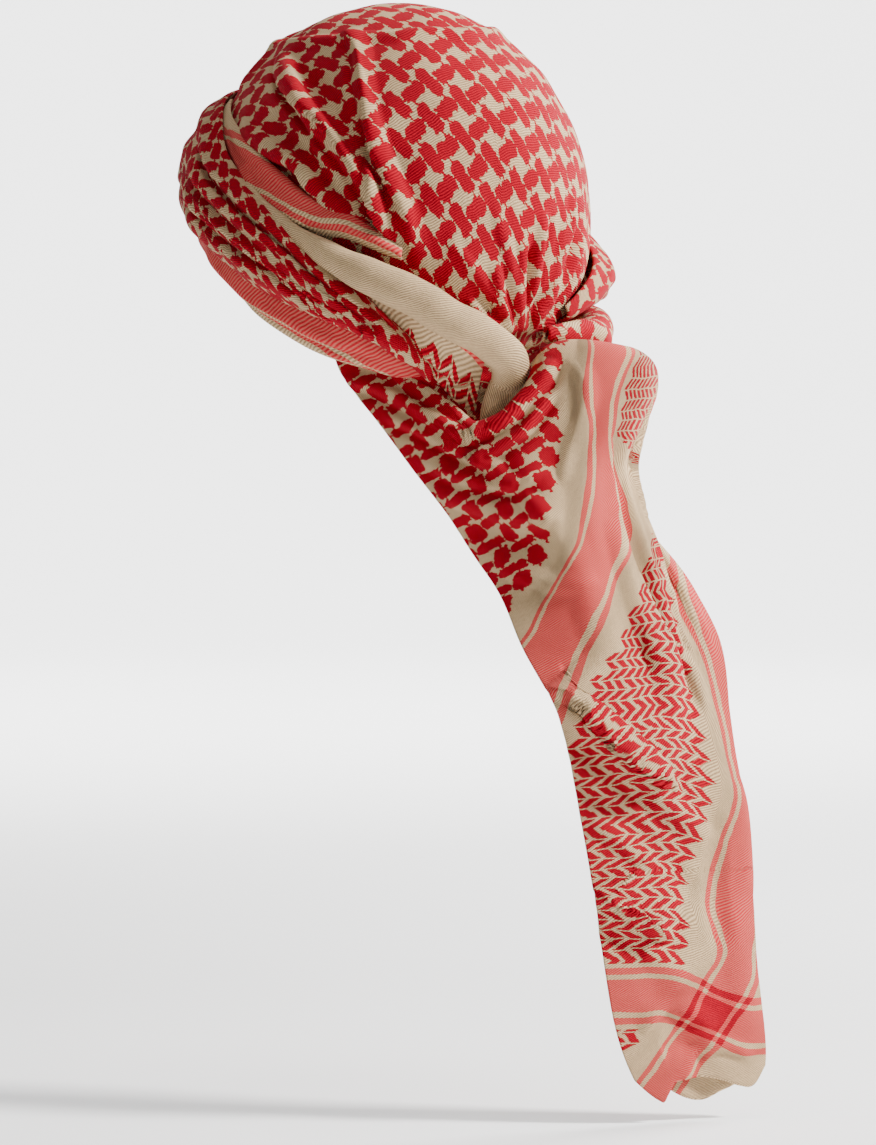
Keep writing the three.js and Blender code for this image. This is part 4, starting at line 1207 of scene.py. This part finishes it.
def build_crown():
    points, turn, drop = crown_at(*grid(*CROWN_STEPS))
    hint = form_normal(turn, drop)
    weave = crown_weave(points)

    def place(a, b):
        return lifted(a, b, CROWN_LIFT)

    points = laid(points, CROWN_CREASES, place, hint, CROWN_SEED, CROWN_RUMPLE, ring=True)
    points[:, -1] = points[:, 0]
    points[0] = points[0].mean(axis=0)
    return cloth_shell("crown_cloth", points, hint, weave, wall_of("crown"), ring=True, cap=True)


def build_band(name, rows, base_lift, fullness, pleats, steps, creases, weave, seed, rumpled):
    u, v = grid(*steps)
    points = band_at(rows, base_lift, fullness, pleats, u, v)
    turn = mix(rows["turn"][0], rows["turn"][-1], u)
    row = read(rows, "turn", turn)
    hint = form_normal(turn, mix(row["top"], row["foot"], v))

    def place(a, b):
        spot = read(rows, "turn", a)
        return lifted(a, mix(spot["top"], spot["foot"], b), base_lift + spot["rise"] * fullness(b))

    points = laid(points, creases, place, hint, seed, rumpled)
    return cloth_shell(name, points, hint, band_weave(points, *weave), wall_of("wrap"))


def build_roll(name, rows, steps, weave, seed, rumpled):
    points = roll_at(rows, *grid(*steps))
    centre = points[:, :-1].mean(axis=1, keepdims=True)
    hint = unit(points - centre)
    normals = surface_normals(points, hint, True)
    points = points + normals * rumple(points, rumpled, ROLL_RUMPLE, seed)[..., None]
    points[:, -1] = points[:, 0]
    return cloth_shell(name, points, hint, band_weave(points, *weave), wall_of("wrap"), ring=True)


def build_tail(name, form, steps, creases, seed, rumpled):
    points, across, drop = form(*grid(*steps))
    hint = tail_normal(across, drop)
    points = laid(points, creases, tail_surface, hint, seed, rumpled)
    return cloth_shell(name, points, hint, tail_weave(across, drop), wall_of("tail"))


# Loose threads at the knot: for each, turn, drop and lift of its points.
LOOSE_THREADS = (
    ((176, 154, 9), (174.5, 151, 14), (173.5, 148, 15.5)),
    ((176, 154, 9), (178, 150, 14), (178.5, 146, 15)),
    ((176, 154, 9), (172, 152, 15), (170, 150, 16.5)),
    ((151, 177, 6), (157, 171.5, 9), (162, 170, 10), (168, 172.5, 9.5), (172, 177, 8)),
)
THREAD_RADIUS = 0.28
THREAD_SIDES = 5
THREAD_STEPS = 14


def build_threads():
    """Thin closed tubes of yarn that stand off the cloth."""
    vertices, faces = [], []
    for spots in LOOSE_THREADS:
        row = along(columns("turn drop lift", *spots), np.linspace(0, 1, THREAD_STEPS))
        line = lifted(row["turn"], row["drop"], row["lift"])
        forward = unit(np.gradient(line, axis=0))
        side = unit(np.cross(forward, (0.3, 0.2, 1.0)))
        other = np.cross(forward, side)
        start = len(vertices)
        for k in range(THREAD_STEPS):
            for j in range(THREAD_SIDES):
                angle = 2 * math.pi * j / THREAD_SIDES
                offset = math.cos(angle) * side[k] + math.sin(angle) * other[k]
                vertices.append(line[k] + THREAD_RADIUS * offset)
        for k in range(THREAD_STEPS - 1):
            for j in range(THREAD_SIDES):
                a = start + k * THREAD_SIDES
                b = a + THREAD_SIDES
                after = (j + 1) % THREAD_SIDES
                faces.append((a + j, a + after, b + after, b + j))
        last = start + (THREAD_STEPS - 1) * THREAD_SIDES
        faces.append(tuple(start + j for j in reversed(range(THREAD_SIDES))))
        faces.append(tuple(last + j for j in range(THREAD_SIDES)))
    mesh = bpy.data.meshes.new("loose_threads")
    mesh.from_pydata((np.array(vertices) * MM).tolist(), [], faces)
    return finished("loose_threads", mesh)


def wall_of(piece):
    return getattr(bpy.context.scene.scarf_sizes, f"{piece}_wall") / MM


LENGTH = {"unit": "LENGTH"}
COLOUR = {"subtype": "COLOR_GAMMA", "size": 3}


class ScarfSizes(bpy.types.PropertyGroup):
    """Thicknesses of the cloth."""

    crown_wall: bpy.props.FloatProperty(
        name="Crown cloth", description="Thickness of the crown's single layer", default=0.0014, **LENGTH
    )
    wrap_wall: bpy.props.FloatProperty(
        name="Wrap cloth", description="Thickness of the wound layers", default=0.0015, **LENGTH
    )
    tail_wall: bpy.props.FloatProperty(
        name="Tail cloth", description="Thickness of the hanging layers", default=0.0016, **LENGTH
    )


class ScarfLook(bpy.types.PropertyGroup):
    """Colours of the yarns, each lit and in painted shade, and of the stage."""

    red: bpy.props.FloatVectorProperty(
        name="Red yarn", description="Lit side of the red yarn", default=(0.70, 0.0, 0.13), **COLOUR
    )
    # The red yarn's darker copy is painted shade for the hollows between the twill ribs.
    red_painted_shade: bpy.props.FloatVectorProperty(
        name="Red yarn, hollows", description="Red between the ribs", default=(0.40, 0.0, 0.06), **COLOUR
    )
    tan: bpy.props.FloatVectorProperty(
        name="Tan yarn", description="Lit side of the ground", default=(0.84, 0.72, 0.56), **COLOUR
    )
    # The tan yarn's darker copy is painted shade for the hollows between the twill ribs.
    tan_painted_shade: bpy.props.FloatVectorProperty(
        name="Tan yarn, hollows", description="Tan between the ribs", default=(0.48, 0.38, 0.27), **COLOUR
    )
    pink: bpy.props.FloatVectorProperty(
        name="Mixed stripe", description="Tan threads in a stripe", default=(0.76, 0.42, 0.36), **COLOUR
    )
    floor: bpy.props.FloatVectorProperty(
        name="Floor", description="Studio floor", default=(0.95, 0.95, 0.95), **COLOUR
    )
    sheen: bpy.props.FloatProperty(
        name="Fuzz", description="Soft light caught by loose fibres", default=0.02, min=0.0, max=1.0
    )


# The wound bands: piece, node, finish, form, lift, fullness, pleats, steps along and across,
# creases, weave, seed, rumple, flat size in metres and how it is held.
BANDS = (
    ("brow_wrap_cloth", "brow_wrap", "checked", BROW, BROW_LIFT, arched, BROW_PLEATS, (330, 68),
     BROW_CREASES, (-330.0, 1.6, -700.0, -0.12), 21, 0.4, (0.52, 0.066), "folded"),
    ("under_wrap_cloth", "under_wrap", "striped", UNDER, UNDER_LIFT, hanging, {}, (220, 34),
     UNDER_CREASES, (16.0, 1.0, -900.0), 22, 0.6, (0.45, 0.024), "folded"),
    ("inner_fold_cloth", "inner_fold", "striped", INNER, FOLD_LIFT, domed, {}, (90, 44),
     INNER_CREASES, (29.0, 0.72, -420.0, 0.0, 0.72), 23, 0.5, (0.085, 0.033), "folded"),
    ("stripe_fold_cloth", "stripe_fold", "striped", STRIPE, FOLD_LIFT, domed, {}, (130, 36),
     STRIPE_CREASES, (3.0, 1.1, -900.0, 0.2), 24, 0.4, (0.14, 0.019), "folded"),
    ("nape_cloth", "nape_layer", "checked", NAPE, UNDER_LIFT, domed, {}, (70, 36),
     NAPE_CREASES, (-260.0, 1.0, -500.0), 25, 0.4, (0.105, 0.040), "gathered"),
)
# The rolled turns: node, finish, form, steps, weave, seed, rumple, flat size, what it rests on.
ROLLS = (
    ("plain_roll", "plain", PLAIN_ROLL, (170, 48), (40.0, 1.0, 0.0), 31, 0.5,
     (0.15, 0.042), "inner_fold_cloth"),
    ("full_roll", "checked", FULL_ROLL, (170, 52), (-200.0, 1.0, -500.0), 32, 0.8,
     (0.155, 0.046), "crown_cloth"),
)
# The layers of the tail: node, form, steps, creases, seed, flat size, what it rests on.
TAIL_LAYERS = (
    ("tail_front", tail_at, (280, 160), TAIL_CREASES, 41, (0.35, 0.125), "crown_cloth"),
    ("tail_back", back_at, (120, 60), (), 42, (0.24, 0.085), "tail_front_cloth"),
)
# The tail hangs free, so it is rumpled a little more than the wraps.
TAIL_RUMPLE = 0.6


class SCARF_OT_crown(bpy.types.Operator):
    """Adds the cloth stretched over the crown, with its pleats and the gathers at the back"""

    bl_idname = "scarf.crown"
    bl_label = "Crown"

    def execute(self, context):
        dress(build_crown(), "crown", "checked", (0.29, 0.26), "stretched")
        return {"FINISHED"}


class SCARF_OT_bands(bpy.types.Operator):
    """Adds the wound bands: brow wrap, under wrap, the two flat folds and the nape layer"""

    bl_idname = "scarf.bands"
    bl_label = "Bands and folds"

    def execute(self, context):
        for name, node, finish, *form, flat, held in BANDS:
            dress(build_band(name, *form), node, finish, flat, held, "crown_cloth")
        return {"FINISHED"}


class SCARF_OT_rolls(bpy.types.Operator):
    """Adds the two rolled turns, the plain one on the left and the full one, and loose threads"""

    bl_idname = "scarf.rolls"
    bl_label = "Rolls"

    def execute(self, context):
        for node, finish, *form, flat, rests_on in ROLLS:
            dress(build_roll(f"{node}_cloth", *form), node, finish, flat, "folded", rests_on)
        threads = build_threads()
        threads.data.materials.append(finish_of("plain"))
        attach(threads, BODY)
        return {"FINISHED"}


class SCARF_OT_tail(bpy.types.Operator):
    """Adds the tail that hangs down the back: front layer with the rolled lip, and back layer"""

    bl_idname = "scarf.tail"
    bl_label = "Tail"

    def execute(self, context):
        for node, *form, flat, rests_on in TAIL_LAYERS:
            piece = build_tail(f"{node}_cloth", *form, TAIL_RUMPLE)
            dress(piece, node, "checked", flat, "hung", rests_on)
        return {"FINISHED"}


class SCARF_OT_stage(bpy.types.Operator):
    """Adds the pale floor, the soft studio lights and the camera"""

    bl_idname = "scarf.stage"
    bl_label = "Stage"

    def execute(self, context):
        bpy.ops.object.select_all(action="DESELECT")
        floor = swept_floor()
        white = linear(hex_of(context.scene.scarf_look.floor))
        floor.data.materials.append(matt_card("matt_white_card", white))
        for name, place, size, target, power, colour in LAMPS:
            lamp = bpy.data.lights.new(name, "AREA")
            lamp.shape = "RECTANGLE"
            lamp.size, lamp.size_y = size
            lamp.energy = power
            lamp.color = colour
            holder = bpy.data.objects.new(name, lamp)
            context.scene.collection.objects.link(holder)
            holder.location = place
            aim(holder, target)
        world = bpy.data.worlds.new("white_studio")
        world.use_nodes = True
        world.node_tree.nodes["Background"].inputs[0].default_value = (1.0, 1.0, 1.0, 1.0)
        world.node_tree.nodes["Background"].inputs[1].default_value = WORLD_STRENGTH
        context.scene.world = world
        camera = bpy.data.cameras.new("camera")
        camera.lens = CAMERA_LENS
        holder = bpy.data.objects.new("camera", camera)
        context.scene.collection.objects.link(holder)
        angle, rise = math.radians(CAMERA_AZIMUTH), math.radians(CAMERA_ELEVATION)
        back = Vector((math.sin(angle) * math.cos(rise), -math.cos(angle) * math.cos(rise), math.sin(rise)))
        holder.location = Vector(CAMERA_AIM) + back * CAMERA_DISTANCE
        aim(holder, CAMERA_AIM)
        context.scene.camera = holder
        return {"FINISHED"}


# The floor lies under the hem, and the lights stand round the scarf as in a white studio.
FLOOR_HEIGHT = -0.512
FLOOR_RINGS = (0.6, 2.4)
FLOOR_RADIUS = 4.6
SWEEP_RADIUS = 2.2
SWEEP_STEPS = 12
SWEEP_SIDES = 96
WORLD_STRENGTH = 0.25
LIGHT_AIM = (0.0, 0.03, -0.2)
LAMPS = (
    ("key", (-0.9, 1.7, 1.2), (0.4, 0.4), LIGHT_AIM, 150.0, (1.0, 0.98, 0.96)),
    ("rim", (-1.6, 0.1, 0.5), (0.8, 1.2), LIGHT_AIM, 62.0, (1.0, 1.0, 1.0)),
    ("top", (0.1, 0.3, 1.8), (0.8, 0.8), LIGHT_AIM, 16.0, (1.0, 1.0, 1.0)),
    ("backdrop", (-2.4, -2.4, 2.2), (4.0, 4.0), (-4.2, -4.2, -0.5), 600.0, (1.0, 1.0, 1.0)),
)
# The camera stands behind on the left and looks almost level.
CAMERA_AZIMUTH = 135.0
CAMERA_ELEVATION = 2.0
CAMERA_DISTANCE = 3.0
CAMERA_LENS = 206.0
CAMERA_AIM = (0.0284, 0.0564, -0.2617)


def swept_floor():
    """A round floor whose rim curves up into a low wall, so no horizon shows."""
    angles = [math.pi / 2 * k / SWEEP_STEPS for k in range(SWEEP_STEPS + 1)]
    profile = [(radius, FLOOR_HEIGHT) for radius in FLOOR_RINGS]
    profile += [
        (FLOOR_RADIUS + SWEEP_RADIUS * math.sin(a), FLOOR_HEIGHT + SWEEP_RADIUS * (1 - math.cos(a)))
        for a in angles
    ]
    vertices = [(0.0, 0.0, FLOOR_HEIGHT)]
    for radius, height in profile:
        for k in range(SWEEP_SIDES):
            a = 2 * math.pi * k / SWEEP_SIDES
            vertices.append((radius * math.cos(a), radius * math.sin(a), height))
    faces = []
    for k in range(SWEEP_SIDES):
        after = (k + 1) % SWEEP_SIDES
        faces.append((0, 1 + k, 1 + after))
        for ring in range(len(profile) - 1):
            low, high = 1 + ring * SWEEP_SIDES, 1 + (ring + 1) * SWEEP_SIDES
            faces.append((low + k, high + k, high + after, low + after))
    mesh = bpy.data.meshes.new("floor")
    mesh.from_pydata(vertices, [], faces)
    floor = bpy.data.objects.new("floor", mesh)
    bpy.context.scene.collection.objects.link(floor)
    mesh.shade_smooth()
    return floor


def aim(holder, target):
    way = Vector(target) - holder.location
    holder.rotation_euler = way.to_track_quat("-Z", "Y").to_euler()


class SCARF_PT_panel(bpy.types.Panel):
    """Lists the pieces of the scarf"""

    bl_idname = "SCARF_PT_panel"
    bl_label = "Wound Scarf"
    bl_space_type = "VIEW_3D"
    bl_region_type = "UI"
    bl_category = "Scarf"

    def draw(self, context):
        for group in (context.scene.scarf_sizes, context.scene.scarf_look):
            for key in group.__annotations__:
                self.layout.prop(group, key)
        for kind in PIECES:
            self.layout.operator(kind.bl_idname)


PIECES = (SCARF_OT_stage, SCARF_OT_crown, SCARF_OT_bands, SCARF_OT_rolls, SCARF_OT_tail)
CLASSES = (ScarfSizes, ScarfLook, *PIECES, SCARF_PT_panel)


def register():
    for kind in CLASSES:
        bpy.utils.register_class(kind)
    bpy.types.Scene.scarf_sizes = bpy.props.PointerProperty(type=ScarfSizes)
    bpy.types.Scene.scarf_look = bpy.props.PointerProperty(type=ScarfLook)


def unregister():
    del bpy.types.Scene.scarf_look
    del bpy.types.Scene.scarf_sizes
    for kind in reversed(CLASSES):
        bpy.utils.unregister_class(kind)


def main():
    register()
    bpy.ops.scarf.stage()
    bpy.ops.scarf.crown()
    bpy.ops.scarf.bands()
    bpy.ops.scarf.rolls()
    bpy.ops.scarf.tail()


if __name__ == "__main__":
    main()
